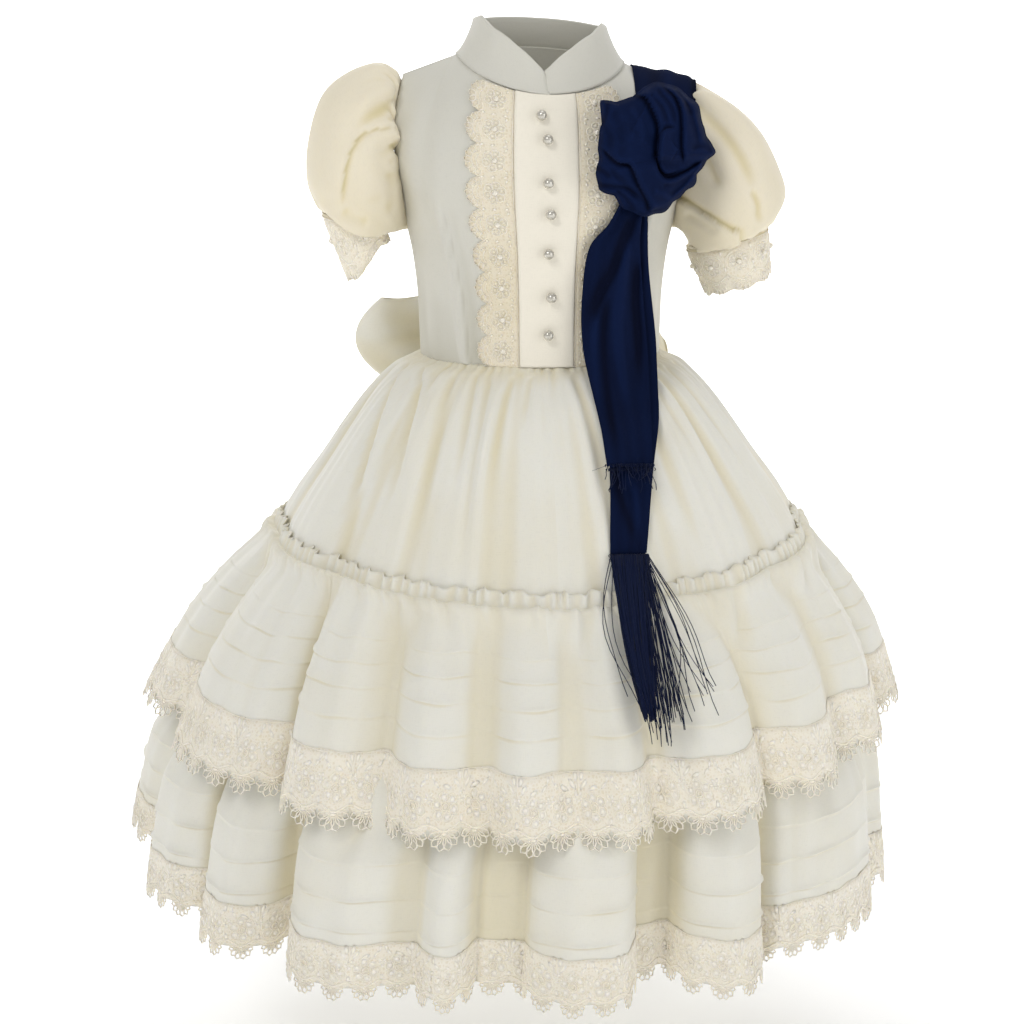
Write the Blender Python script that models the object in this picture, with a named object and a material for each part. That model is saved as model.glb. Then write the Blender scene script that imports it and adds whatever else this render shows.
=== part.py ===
import math

import bpy
import numpy as np

# Escaramuza dress for a child, worn shape without a wearer.
# All sizes below are in millimetres. +Z is up, the front faces -Y, and the origin is the
# middle of the line between the two shoulder seams.

MM = 0.001
WALL = 1.6
SEAM_GAP = 0.5
LAY_GAP = 0.7
ARMHOLE_GAP = 0.7
COLLAR_LIFT = 0.7
CENTRE_GAP = 0.2
TRIM_TOP = 0.955
NECK_LIFT = 2.0
LACE_WALL = 1.2
TUCK_LIP = 1.9
TUCK_STEP = 2.6
LACE_START = 2.0
LACE_OVERHANG = 8.0
SCALLOP = 6.5

# Gathers under the waistband: how many, and how far they stand out at each ring of the skirt.
GATHER_COUNT = 42
GATHER_SIZES = (1.0, 3.2, 2.4, 1.0, 0.3, 0.0)

# Ruffled heading over the upper flounce: how many waves, and its two rows.
# columns: height up from the seam, distance out, size of the waves, unevenness of the height
HEADING_WAVES = 68
HEADING_ROWS = [(1.6, 1.2, 0.6, 0.0), (11.0, 3.6, 2.6, 1.2)]
HEADING_WALL = 1.1
HEAD_RIPPLE = 0.9
HEAD_GAP = 1.1

VALLEY_LIFT = 0.16
LOBE_ROUNDNESS = 0.72
FOLD_SPREAD = 7.5
FOLD_SWELL = 3.0
WAIST_Z = -262.0
WAIST_TILT = 0.035
NECK_HALF_WIDTH = 71.0
NECK_FRONT = (-64.0, -35.0)
NECK_BACK = (50.0, 3.0)
NECK_SIDE_Z = -5.5
# The left shoulder sits lower than the right one by this share of the width.
LEAN = 0.05
LEAN_START = -170.0
LEAN_END = -40.0
BUTTON_RADIUS = 4.6
BUTTON_GAP = 0.3

# Rings of the skirt and the flounces, one row a level.
# columns: z front, z left, z right, z back, half width, front depth, back depth, shift x,
# amount of fold
SKIRT_RINGS = [
    (-265.4, -262.4, -262.4, -259.4, 105.5, 85, 81, 0, 0.00),
    (-277, -272, -272, -271, 125, 103, 100, 0, 0.15),
    (-302, -298, -298, -300, 152, 132, 132, 0, 0.45),
    (-350, -345, -345, -348, 187, 167, 170, 0, 0.80),
    (-443, -417, -419, -424, 234, 217, 220, 0, 1.00),
    (-549, -545, -547, -546, 272, 257, 262, -8, 0.60),
]
UPPER_RINGS = [
    (-444, -418, -420, -425, 237, 220, 223, 0, 0.05),
    (-452, -425, -428, -433, 249, 231, 234, -1, 0.30),
    (-484, -453, -456, -464, 276, 258, 261, -5, 0.70),
    (-532, -497, -500, -508, 300, 282, 289, -9, 0.93),
    (-610, -563, -565, -576, 324, 306, 316, -16, 1.00),
]
LOWER_RINGS = [
    (-550, -546, -548, -547, 272, 257, 262, -8, 0.00),
    (-592, -580, -582, -585, 300, 284, 291, -14, 0.50),
    (-640, -622, -628, -632, 322, 304, 310, -20, 0.86),
    (-690, -676, -688, -690, 328, 310, 317, -23, 0.97),
    (-741, -727, -749, -744, 332, 314, 322, -25, 1.00),
]

# Broad folds of the skirt below its fine gathers, one row a fold.
# columns: direction of the trough in degrees from the front, depth of the trough
SKIRT_FOLDS = [
    (-150, 7),
    (-118, 8),
    (-84, 7),
    (-51, 9),
    (-33, 6),
    (-13, 8),
    (8, 5),
    (27, 8),
    (52, 7),
    (85, 8),
    (118, 7),
    (151, 8),
]

# Folds of the two flounces, one row a fold.
# columns: direction of the valley at the hem in degrees, half width of its floor in degrees,
# depth of the valley inside the ring, height of the next lobe outside it, lean of the fold,
# rise of the hem on the next lobe
UPPER_FOLDS = [
    (-104, 0, 18, 13, 0, 8),
    (-73, 0, 26, 14, -5, 0),
    (-42.5, 0, 30, 14, -10, 0),
    (-24.5, 0, 26, 12, -9, 0),
    (-9.5, 0, 22, 10, -6, 0),
    (3.5, 0, 9, 10, -2, 0),
    (17.5, 0, 28, 12, -5, 0),
    (37, 0, 28, 12, -4, 0),
    (54, 0, 7, 12, 4, 0),
    (71, 0, 24, 12, 8, 8),
    (89, 0, 20, 12, 3, 6),
    (106, 0, 26, 13, 0, 0),
    (128, 0, 24, 14, -3, 0),
    (148, 0, 28, 12, 0, 0),
    (169, 0, 22, 13, 2, 0),
    (191, 0, 28, 13, 0, 0),
    (212, 0, 24, 14, -3, 0),
    (234, 0, 27, 13, 0, 0),
]
LOWER_FOLDS = [
    (-122, 1.5, 44, 22, 0, 36),
    (-84, 0.4, 36, 4, 0, 8),
    (-61, 0.4, 34, 2, 0, 0),
    (-41.5, 1.4, 54, 14, 0, 0),
    (-17.5, 0, 12, 10, 0, 0),
    (-5.5, 3.8, 46, 12, 0, 0),
    (19.3, 3.2, 54, 12, 0, 0),
    (37.5, 0.5, 34, 10, 0, 16),
    (76, 1.0, 34, 12, 0, 6),
    (104, 1.5, 42, 14, 0, 0),
    (131, 2.0, 46, 12, 0, 0),
    (157, 1.0, 38, 14, 0, 0),
    (184, 2.5, 48, 12, 0, 0),
    (211, 1.2, 40, 14, 0, 0),
]
UPPER_TUCKS = (1.9, 2.3, 2.68, 3.04)
LOWER_TUCKS = (2.02, 2.58, 3.10)
UPPER_LACE_TOP = 3.34
LOWER_LACE_TOP = 3.24
UPPER_COLUMN_DEGREES = 6.4
LOWER_COLUMN_DEGREES = 6.2
SKIRT_CLEARANCE = 5.0
NEST_CLEARANCE = 4.0
LOOK_ASIDE = (-0.055, -0.037, -0.018, 0.0, 0.018, 0.037, 0.055)
HEM_FLARE = 0.9

# Levels of the bodice, one row a section from the centre line to the side or armhole.
# columns: share of the height, z at the centre, y at the centre, z at the side, x at the side,
# y at the side
FRONT_SECTIONS = [
    (0.00, -264.6, -85.0, -261.7, 105.5, 0),
    (0.20, -216, -84.0, -213, 107.5, 0),
    (0.36, -178, -85.5, -176, 111.5, 0),
    (0.47, -152, -86.0, -151, 116.5, -1),
    (0.58, -125, -84.5, -122, 123.0, -13),
    (0.72, -92, -80.5, -88, 127.0, -22),
    (0.86, -62, -73.5, -56, 125.5, -19),
    (1.00, -35, -64.0, -25, 118.5, -0.3),
]
BACK_SECTIONS = [
    (0.00, -258.8, 81.0, -261.7, 105.5, 0),
    (0.20, -211, 80.0, -213, 107.5, 0),
    (0.36, -170, 82.0, -176, 111.5, 0),
    (0.47, -142, 84.0, -151, 116.5, 1),
    (0.58, -112, 84.0, -122, 123.0, 14),
    (0.72, -76, 79.0, -88, 127.0, 23),
    (0.86, -38, 68.0, -56, 125.5, 20),
    (1.00, 3, 50.0, -25, 118.5, 0.3),
]
FRONT_COLUMNS = (0.0, 0.14, 0.26, 0.37, 0.52, 0.68, 0.84, 1.0)
BACK_COLUMNS = (0.0, 0.24, 0.5, 0.75, 1.0)
BODICE_LEVELS = (0.0, 0.18, 0.36, 0.47, 0.58, 0.72, 0.84, 0.93, 1.0)
NECK_SHARE = 0.62
ARMPIT_LEVEL = 0.47
TRIM_LEVELS = 18

# Sleeves, one row a ring from beside the armhole to the cuff.
# columns: x and z of the top point, x and z of the low point, half depth front to back,
# fall of the middle, ripple of the gathers
SLEEVE_RIGHT_RINGS = [
    (138, -11, 122.5, -152.5, 36, 0, 3.2),
    (165, -17, 124.8, -154, 53, 3, 2.2),
    (189, -38, 127, -154.5, 60, 8, 0.8),
    (201, -80, 129.4, -153.6, 62, 14, 0.4),
    (200, -114, 132.6, -150.6, 58, 18, 1.2),
    (190.5, -137, 137, -146.2, 45, 0, 0.6),
]
SLEEVE_LEFT_RINGS = [
    (138, -32, 124.0, -153, 37, 0, 3.2),
    (167, -45, 127.0, -157, 53, 2, 2.2),
    (192, -68, 129.5, -161, 61, 5, 0.8),
    (209, -99, 131.5, -164.5, 63, 8, 0.4),
    (215, -124, 132.5, -168, 59, 10, 1.2),
    (200, -151, 130.5, -171, 46, 0, 1.0),
]
# columns: x and z of the outer point, x and z of the inner point, half depth
CUFF_RIGHT_RINGS = [
    (190.0, -139.2, 137.6, -148.8, 44.2),
    (168, -196, 129.5, -172, 41),
]
CUFF_LEFT_RINGS = [
    (200.3, -152.6, 130.9, -172.6, 45.6),
    (203, -190, 150.5, -215, 42),
]
SLEEVE_COLUMNS = 22
PUFF_SQUARE = 2.3
CUFF_COLUMNS = 22
CUFF_SCALLOP = (-1.0, 4.0)

# Stand collar, one row a direction from the front round to the back.
# columns: degrees from the front, lean inwards of the top edge, height of the top edge
COLLAR_PROFILE = [
    (0, 10, 20),
    (22, 12, 21),
    (45, 14, 25),
    (66, 15, 30),
    (80, 15, 33.5),
    (96, 14, 29),
    (130, 10, 26),
    (180, 9, 25),
]
COLLAR_FLARE = 3.0
COLLAR_CROSSING = 2.4
COLLAR_CROSSING_COLUMNS = 3
COLLAR_ENDS = (-4.0, 363.0)
COLLAR_COLUMNS = 28

# Buttons down the placket, one row a button.
# columns: x, z
BUTTONS = [(-4, -52), (1, -72), (1, -108), (3, -134), (1, -167), (3.5, -204), (1, -236)]

# Sash, one row a level of a hanging layer.
# columns: z, x of the left edge, x of the right edge, y of the left edge, y of the right edge,
# bow of the folds
FALL_TOP = [
    (-118, 66, 84, -80.9, -78, 0.6),
    (-142, 52, 80, -88.5, -86, 1.5),
    (-163, 35, 79, -94, -88, 4),
    (-205, 29, 82, -98, -88, 5),
    (-240, 29, 85, -101, -91, 5),
    (-262, 32, 86, -107, -97, 4),
    (-286, 37, 86, -122, -110, 3),
    (-308, 41, 85, -143, -132, 3),
    (-336, 44, 83, -165, -157, 2),
]
FALL_UNDER = [
    (-116, 70, 86, -78, -75, 0.5),
    (-140, 58, 86, -83.5, -80, 1),
    (-180, 44, 87, -88.5, -81, 1.5),
    (-236, 38, 93, -91, -83, 1.5),
    (-262, 40, 94, -98, -88, 1.5),
    (-286, 43, 94, -113, -99, 1.5),
    (-308, 46, 92, -134.5, -121, 1.5),
    (-345, 47, 84, -162.5, -151, 1.5),
    (-405, 44, 75, -195.5, -189, 1.5),
]
FALL_COLUMNS = 6
FALL_WALL = 1.3

# Long fringe, columns at its lower end: z, x left, x right, y
FRINGE_LONG = [(-405, 44, 75, -195.2), (-446, 38, 86, -237), (-514, 50, 112, -289)]
FRINGE_SHORT = [(-336, 44, 83, -161.5), (-350, 43, 84, -174)]
FRINGE_LONG_STRANDS = 20
FRINGE_SHORT_STRANDS = 10
STRIP_THICK = 1.0
STRIP_HEIGHT = 4.0
STRIP_GAP = 1.2
STRAND_HALF = 0.4
STRAND_UNEVEN = 7.0

# Rosette of the sash: a dome of gathered cloth with three wrapped folds over it.
# columns: direction in degrees counted from the left side of the wearer, radius of the outline
ROSETTE_OUTLINE = [
    (-164, 51),
    (-148, 56),
    (-135, 51),
    (-116, 52),
    (-96, 55),
    (-69, 45),
    (-27, 42),
    (0, 49),
    (29, 48),
    (61, 57),
    (76, 58),
    (100, 57),
    (110, 51),
    (139, 61),
    (150, 51),
    (172, 48),
    (196, 51),
]
ROSETTE_CENTRE = (90.0, -89.0, -83.0)
ROSETTE_TILT = 0.18
ROSETTE_RISE = 26.0
ROSETTE_COLUMNS = 18
ROSETTE_WAVES = 3
ROSETTE_WAVE_DEPTH = 3.0
# columns: share of the radius, distance behind the front of the outline
ROSETTE_RINGS = [(0.04, 0), (0.34, 0), (0.66, 0), (0.93, 0), (0.99, 4), (0.86, 8)]
# columns: start and end direction, start and end share of the radius, half width of the fold,
# height of its edges over the dome
ROSETTE_WRAPS = [
    (146, -50, 0.74, 0.70, 0.21, 6.2),
    (-168, -72, 0.72, 0.72, 0.22, 4.1),
    (220, 10, 0.36, 0.26, 0.17, 3.5),
]
WRAP_STEPS = 7
WRAP_CROWN = 3.2

# Path of the sash from inside the rosette over the shoulder, one row a step.
# columns: y of the inner and the outer edge, z of the inner and the outer edge, x of the inner
# and the outer edge
SHOULDER_PATH = [
    (-113.4, -109.0, -84, -86, 82, 104),
    (-94, -89, -76, -80, 81, 110),
    (-76, -70, -62, -70, 80, 118),
    (-56, -50, -46, -57, 80, 126),
    (-36, -32, -33.5, -45, 80, 132),
    (-18, -16, -19.8, -29, 80, 135),
    (0, 0, -11.0, -22, 80, 136),
    (18, 16, -12.9, -29, 80, 134),
    (34, 30, -24.6, -43, 79, 131),
    (51.5, 46, -48.4, -65, 78, 127),
    (63, 57, -71, -87, 77, 122),
]
SHOULDER_COLUMNS = 5
SHOULDER_RIPPLE = 1.2

# Bow at the back, one row a station of the ribbon of a loop.
# columns: share of the length out, y forward or back of the loop, half width of the ribbon
LOOP_PATH = [
    (0.00, -3.0, 9),
    (0.25, -8.0, 20),
    (0.50, -12.0, 30),
    (0.78, -12.0, 35),
    (0.96, -7.0, 36),
    (1.00, 1.0, 36),
    (0.93, 9.0, 35),
    (0.72, 13.0, 33),
    (0.45, 12.0, 28),
    (0.22, 8.0, 19),
    (0.00, 3.0, 9),
]
BOW_CENTRE = (0.0, 104.0, -250.0)
# columns: name, side, reach from the knot, fall of the tip
LOOPS = [("bow_loop_right", -1, 152, -9), ("bow_loop_left", 1, 112, -26)]
LOOP_START = 12.0
RIBBON_WALL = 1.2
LOOP_ROWS = 4
LOOP_CLEARANCE = 16.2
LOOP_FRONT = 72.0
LOOP_ROUND = 24.0
KNOT_SIZE = (12.3, 12.0, 14.0)
# columns: z, x of the middle, half width, distance from where the tail lies on the skirt
TAIL_RIGHT = [
    (-264.6, -6, 5, 12),
    (-285, -15, 13, 3),
    (-325, -31, 25, 0),
    (-372, -45, 32, 0),
    (-405, -54, 36, 0),
]
TAIL_LEFT = [
    (-264.6, 6, 5, 12),
    (-285, 16, 13, 3),
    (-320, 34, 24, 0),
    (-360, 49, 30, 0),
    (-392, 60, 34, 0),
]
TAIL_CLEARANCE = 7.6
TAIL_COLUMNS = 4

CLOTH_IVORY = (0.86, 0.84, 0.72)
BODICE_IVORY = (0.80, 0.79, 0.74)
SLEEVE_CREAM = (0.87, 0.83, 0.68)
LACE_CREAM = (0.84, 0.78, 0.66)
PEARL = (0.72, 0.70, 0.67)
NAVY = (0.010, 0.020, 0.075)


def material(name, colour, roughness, metallic=0.0):
    made = bpy.data.materials.get(name)
    if made is None:
        made = bpy.data.materials.new(name)
        made.use_nodes = True
        shader = made.node_tree.nodes["Principled BSDF"]
        shader.inputs["Base Color"].default_value = (*colour, 1.0)
        shader.inputs["Roughness"].default_value = roughness
        shader.inputs["Metallic"].default_value = metallic
        made.diffuse_color = (*colour, 1.0)
    return made


def add_solid(name, points, faces, mat):
    points = np.asarray(points, float) * MM
    faces = np.asarray(faces, int)
    corners = points[faces]
    volume = np.einsum("ij,ij->i", corners[:, 0], np.cross(corners[:, 1], corners[:, 2])).sum()
    if volume < 0:
        faces = faces[:, ::-1]
    mesh = bpy.data.meshes.new(name)
    mesh.from_pydata(points.tolist(), [], faces.tolist())
    mesh.materials.append(material(*mat))
    mesh.update()
    body = bpy.data.objects.new(name, mesh)
    bpy.context.scene.collection.objects.link(body)
    return body


def lerp(a, b, t):
    return a + (b - a) * t


def smooth(t):
    t = min(max(t, 0.0), 1.0)
    return t * t * (3 - 2 * t)


def curve_at(rows, position):
    """A row of a table at a position between rows, on a smooth curve through them."""
    table = np.asarray(rows, float)
    last = len(table) - 1
    i = int(min(max(math.floor(position), 0), last - 1))
    t = position - i
    slopes = np.gradient(table, axis=0)
    a, b = table[i], table[i + 1]
    t2, t3 = t * t, t * t * t
    return (
        (2 * t3 - 3 * t2 + 1) * a
        + (t3 - 2 * t2 + t) * slopes[i]
        + (3 * t2 - 2 * t3) * b
        + (t3 - t2) * slopes[i + 1]
    )


def table_at(rows, key):
    """A row of a table whose first column is the key, with straight lines between rows."""
    table = np.asarray(rows, float)
    return np.array([np.interp(key, table[:, 0], table[:, k]) for k in range(table.shape[1])])


def ring_point(rows, position, degrees, outward, lift=0.0):
    """A point of a garment ring, moved outward along its direction."""
    zf, zl, zr, zb, width, front, back, shift, _ = curve_at(rows, position)
    angle = math.radians(degrees)
    s, c = math.sin(angle), math.cos(angle)
    level = (zf + zl + zr + zb) / 4 + (zf - zb) / 2 * c + (zr - zl) / 2 * s
    level += ((zf + zb) - (zl + zr)) / 4 * math.cos(2 * angle)
    depth = front if c > 0 else back
    return np.array([shift + (width + outward) * s, -(depth + outward) * c, level + lift])


def wrap(degrees, start):
    return (degrees - start) % 360 + start


def skirt_point(degrees, position, gather=0.0):
    folds = SKIRT_FOLDS
    amount = curve_at(SKIRT_RINGS, position)[8]
    inward = 0.0
    for centre, depth in folds:
        away = abs((degrees - centre + 180) % 360 - 180)
        inward += depth * math.exp(-((away / FOLD_SPREAD) ** 2))
    return ring_point(SKIRT_RINGS, position, degrees, (FOLD_SWELL - inward) * amount + gather)


def fold_of(folds, degrees):
    """Displacement of a flounce at a hem direction: inward, outward, lean and rise."""
    first = folds[0][0]
    degrees = wrap(degrees, first)
    rows = list(folds) + [(first + 360, *folds[0][1:])]
    for here, after in zip(rows, rows[1:]):
        if degrees <= after[0]:
            break
    start, end = here[0] + here[1], after[0] - after[1]
    share = min(max((degrees - start) / (end - start), 0.0), 1.0)
    bump = math.sin(math.pi * share) ** LOBE_ROUNDNESS
    inset = lerp(here[2], after[2], share)
    way = (degrees - here[0]) / (after[0] - here[0])
    return inset * (1 - bump), here[3] * bump, lerp(here[4], after[4], way), here[5] * bump


def flounce_point(rings, folds, degrees, position):
    inset, outset, lean, rise = fold_of(folds, degrees)
    amount = curve_at(rings, position)[8]
    share = position / (len(rings) - 1)
    turned = degrees + lean * (1 - share)
    move = (outset - inset) * amount
    lift = VALLEY_LIFT * inset * amount + rise * share ** 2
    return ring_point(rings, position, turned, move, lift)


def fold_columns(folds, pitch):
    """Hem directions of a flounce's columns, with one on every valley."""
    first = folds[0][0]
    rows = list(folds) + [(first + 360, *folds[0][1:])]
    columns = []
    for here, after in zip(rows, rows[1:]):
        start, end = here[0] + here[1], after[0] - after[1]
        if here[1] > 0:
            columns.append(here[0] - here[1])
        steps = max(4, round((end - start) / pitch))
        for k in range(steps):
            columns.append(lerp(start, end, k / steps))
    return columns


def normals_of(grid, closed, reference):
    """Unit normals of a grid of points, pointing away from the reference point."""
    across = np.gradient(grid, axis=1)
    if closed:
        across = np.roll(grid, -1, axis=1) - np.roll(grid, 1, axis=1)
    along = np.gradient(grid, axis=0)
    normal = np.cross(across, along)
    normal /= np.maximum(np.linalg.norm(normal, axis=2, keepdims=True), 1e-9)
    if np.sum(normal * (grid - np.asarray(reference, float))) < 0:
        normal = -normal
    return normal


def radius_at(grid, angle, z):
    """Distance from the axis of a closed grid of points, at an angle and a height."""
    heights, radii = [], []
    for row in grid:
        angles = np.arctan2(row[:, 0], -row[:, 1])
        order = np.argsort(angles)
        sizes = np.hypot(row[:, 0], row[:, 1])[order]
        around = angles[order]
        radii.append(np.interp(angle, around, sizes, period=2 * math.pi))
        heights.append(-np.interp(angle, around, row[order, 2], period=2 * math.pi))
    return np.interp(-z, heights, radii), -heights[-1]


def kept_apart(row, grid, clearance, outside):
    """Points moved along their radius until they clear another closed grid."""
    best = max if outside else min
    for point in row:
        angle = math.atan2(point[0], -point[1])
        near = [radius_at(grid, angle + turn, point[2]) for turn in LOOK_ASIDE]
        limit = best(found[0] for found in near)
        lowest = min(found[1] for found in near)
        size = math.hypot(point[0], point[1])
        spare = HEM_FLARE * max(0.0, lowest - point[2])
        if outside and size < limit + clearance - spare:
            point[:2] *= (limit + clearance - spare) / size
        if not outside and size > limit - clearance + spare:
            point[:2] *= (limit - clearance + spare) / size
    return row


def strip_faces(faces, upper, lower):
    for k in range(len(upper) - 1):
        faces.append((upper[k], upper[k + 1], lower[k + 1]))
        faces.append((upper[k], lower[k + 1], lower[k]))


def zip_faces(faces, one, one_at, two, two_at):
    """Triangles between two edges with their own numbers of points."""
    i = j = 0
    while i < len(one) - 1 or j < len(two) - 1:
        step_one = j == len(two) - 1 or (i < len(one) - 1 and one_at[i + 1] <= two_at[j + 1])
        if step_one:
            faces.append((one[i], one[i + 1], two[j]))
            i += 1
        else:
            faces.append((one[i], two[j + 1], two[j]))
            j += 1


def shell(name, outer, inner, kept, closed, mat):
    """A closed wall between an outer grid and an inner grid made of its kept rows."""
    rows, columns = outer.shape[:2]
    low_rows = len(kept)
    points = np.concatenate([outer.reshape(-1, 3), inner.reshape(-1, 3)])
    front = [[r * columns + c for c in range(columns)] for r in range(rows)]
    start = rows * columns
    back = [[start + r * columns + c for c in range(columns)] for r in range(low_rows)]
    if closed:
        front = [row + row[:1] for row in front]
        back = [row + row[:1] for row in back]
    faces = []
    for upper, lower in zip(front, front[1:]):
        strip_faces(faces, upper, lower)
    inside = []
    for upper, lower in zip(back, back[1:]):
        strip_faces(inside, upper, lower)
    faces.extend([face[::-1] for face in inside])
    strip_faces(faces, back[0], front[0])
    strip_faces(faces, front[-1], back[-1])
    if not closed:
        at = list(range(rows))
        for side, flip in ((0, False), (-1, True)):
            made = []
            zip_faces(made, [row[side] for row in front], at, [row[side] for row in back], kept)
            faces.extend([f[::-1] if flip else f for f in made])
    return add_solid(name, points, faces, mat)


def wall(
    name, grid, closed, mat, thickness=WALL, kept=None, lips=(), reference=(0, 0, -150), limit=None
):
    """A cloth wall whose outer side is the grid; rows named in lips stand out as tucks."""
    grid = np.asarray(grid, float)
    plain = [r for r in range(len(grid)) if r not in lips]
    normal = normals_of(grid[plain], closed, reference)
    kept = kept or plain
    inner = np.array([grid[r] - thickness * normal[plain.index(r)] for r in kept])
    outer = grid.copy()
    for r in lips:
        outer[r] = grid[r] + TUCK_LIP * normal[plain.index(r + 1)]
    if limit is not None:
        inner = limit(inner)
    return shell(name, outer, inner, list(kept), closed, mat)


def lay_on(grid, closed, reference, gap, thickness):
    """The inner and outer grids of a layer that lies on a surface."""
    normal = normals_of(np.asarray(grid, float), closed, reference)
    return grid + gap * normal, grid + (gap + thickness) * normal


IVORY = ("ivory_cloth", CLOTH_IVORY, 0.62)
BODICE_CLOTH = ("bodice_cloth", BODICE_IVORY, 0.55)
SLEEVE_CLOTH = ("sleeve_cloth", SLEEVE_CREAM, 0.6)
LACE = ("guipure_lace", LACE_CREAM, 0.8)
PEARL_BUTTON = ("pearl", PEARL, 0.25)
SASH_CLOTH = ("navy_crepe", NAVY, 0.75)
FRINGE_YARN = ("navy_fringe", NAVY, 0.6)


def build_skirt():
    columns = 2 * GATHER_COUNT
    grid = []
    for level, size in enumerate(GATHER_SIZES):
        row = []
        for k in range(columns):
            degrees = 360 * (k + 0.22 * math.sin(k * 1.7)) / columns
            gather = size * (0.75 + 0.35 * math.sin(k * 0.9 + 1.0)) * (1 if k % 2 else -1)
            row.append(skirt_point(degrees, level, gather + 0.18 * size * math.sin(k * 2.4)))
        grid.append(row)
    wall("skirt", grid, True, IVORY)
    return np.array(grid)


def flounce_grid(rings, folds, columns, plain, tucks, lace_top, head, apart):
    """Rows of a flounce: plain levels, two rows a tuck, and the row at the top of the lace."""
    marks = [(p, False) for p in plain] + [(lace_top, False)]
    for tuck in tucks:
        marks.append((tuck, True))
    marks.sort()
    grid, lips = [head], []
    for position, is_tuck in marks:
        row = apart(np.array([flounce_point(rings, folds, d, position) for d in columns]))
        if is_tuck:
            below = np.array([flounce_point(rings, folds, d, position + 0.1) for d in columns])
            along = apart(below) - row
            along /= np.linalg.norm(along, axis=1, keepdims=True)
            lips.append(len(grid))
            grid.append(row)
            grid.append(row + TUCK_STEP * along)
        else:
            grid.append(row)
    return np.array(grid), lips


def halved(row):
    """A closed row with a point added in the middle of each span."""
    row = np.asarray(row, float)
    return np.stack([row, (row + np.roll(row, -1, axis=0)) / 2], axis=1).reshape(-1, 3)


def build_lace(name, grid):
    """Lace border laid on the last two rows of a flounce, with a scalloped lower edge."""
    top, hem = grid[-2], grid[-1]
    along = hem - top
    length = np.linalg.norm(along, axis=1, keepdims=True)
    along = along / length
    start = top + LACE_START * along
    base = np.array([start, hem])
    inner, outer = lay_on(base, True, (0, 0, -150), LAY_GAP, LACE_WALL)
    inner = [halved(row) for row in inner]
    outer = [halved(row) for row in outer]
    down = halved(along)
    count = len(down)
    reach = np.array([LACE_OVERHANG + (SCALLOP / 2 if k % 2 else -SCALLOP / 2) for k in range(count)])
    low_inner = inner[1] + down * reach[:, None]
    low_outer = outer[1] + down * reach[:, None]
    shell(name, np.array([outer[0], low_outer]), np.array([inner[0], low_inner]), [0, 1], True, LACE)


def build_flounces(skirt):
    columns = fold_columns(UPPER_FOLDS, UPPER_COLUMN_DEGREES)
    head = []
    for k, d in enumerate(columns):
        lean = fold_of(UPPER_FOLDS, d)[2]
        ripple = HEAD_RIPPLE if k % 2 else 0.0
        point = skirt_point(d + lean, 4.0)
        away = np.array([point[0], point[1], 0.0])
        away /= np.linalg.norm(away)
        head.append(point + away * (HEAD_GAP + WALL + ripple) + (0, 0, 0.5 * ripple))
    upper, lips = flounce_grid(
        UPPER_RINGS, UPPER_FOLDS, columns, (1.0, 4.0), UPPER_TUCKS, UPPER_LACE_TOP, head,
        lambda row: kept_apart(row, skirt, SKIRT_CLEARANCE, True),
    )
    plain = [r for r in range(len(upper)) if r not in lips]
    wall("flounce_upper", upper, True, IVORY, lips=lips)
    build_lace("lace_upper", upper)

    ends = upper[-1] - upper[-2]
    ends /= np.linalg.norm(ends, axis=1, keepdims=True)
    cover = np.array([upper[r] for r in plain] + [upper[-1] + ends * (LACE_OVERHANG + SCALLOP)])
    columns = fold_columns(LOWER_FOLDS, LOWER_COLUMN_DEGREES)
    head = [skirt_point(d, 5.0) + (0, 0, -2 * SEAM_GAP) for d in columns]
    lower, lips = flounce_grid(
        LOWER_RINGS, LOWER_FOLDS, columns, (1.0, 1.62, 4.0), LOWER_TUCKS, LOWER_LACE_TOP, head,
        lambda row: kept_apart(row, cover, NEST_CLEARANCE + WALL, False),
    )
    wall("flounce_lower", lower, True, IVORY, lips=lips)
    build_lace("lace_lower", lower)


def build_heading():
    """Narrow ruffle standing up over the seam of the upper flounce."""
    columns = 2 * HEADING_WAVES
    rows = []
    for lift, out, wave, uneven in HEADING_ROWS:
        row = []
        for k in range(columns):
            degrees = 360 * (k + 0.25 * math.sin(k * 2.1)) / columns
            low = skirt_point(degrees, 4.0)
            high = skirt_point(degrees, 3.6)
            rise = (high - low) / np.linalg.norm(high - low)
            away = np.array([low[0], low[1], 0.0]) / math.hypot(low[0], low[1])
            amount = wave * (0.75 + 0.25 * math.sin(k * 0.8))
            push = out + (amount if k % 2 else -amount)
            tall = lift + uneven * math.sin(k * 0.55)
            row.append(low + rise * tall + away * push)
        rows.append(row)
    outer = np.array(rows[::-1])
    away = outer * (1, 1, 0)
    away /= np.linalg.norm(away, axis=2, keepdims=True)
    shell("flounce_heading", outer + HEADING_WALL * away, outer, [0, 1], True, IVORY)


def neckline(share, back):
    """A point of the neck seam, from the centre (0) to the shoulder (1)."""
    angle = share * math.pi / 2
    y, z = NECK_BACK if back else NECK_FRONT
    level = NECK_SIDE_Z + (z - NECK_SIDE_Z) * math.cos(angle) ** 1.4
    edge = 0.3 if back else -0.3
    return np.array([NECK_HALF_WIDTH * math.sin(angle), y * math.cos(angle) + edge, level])


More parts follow.
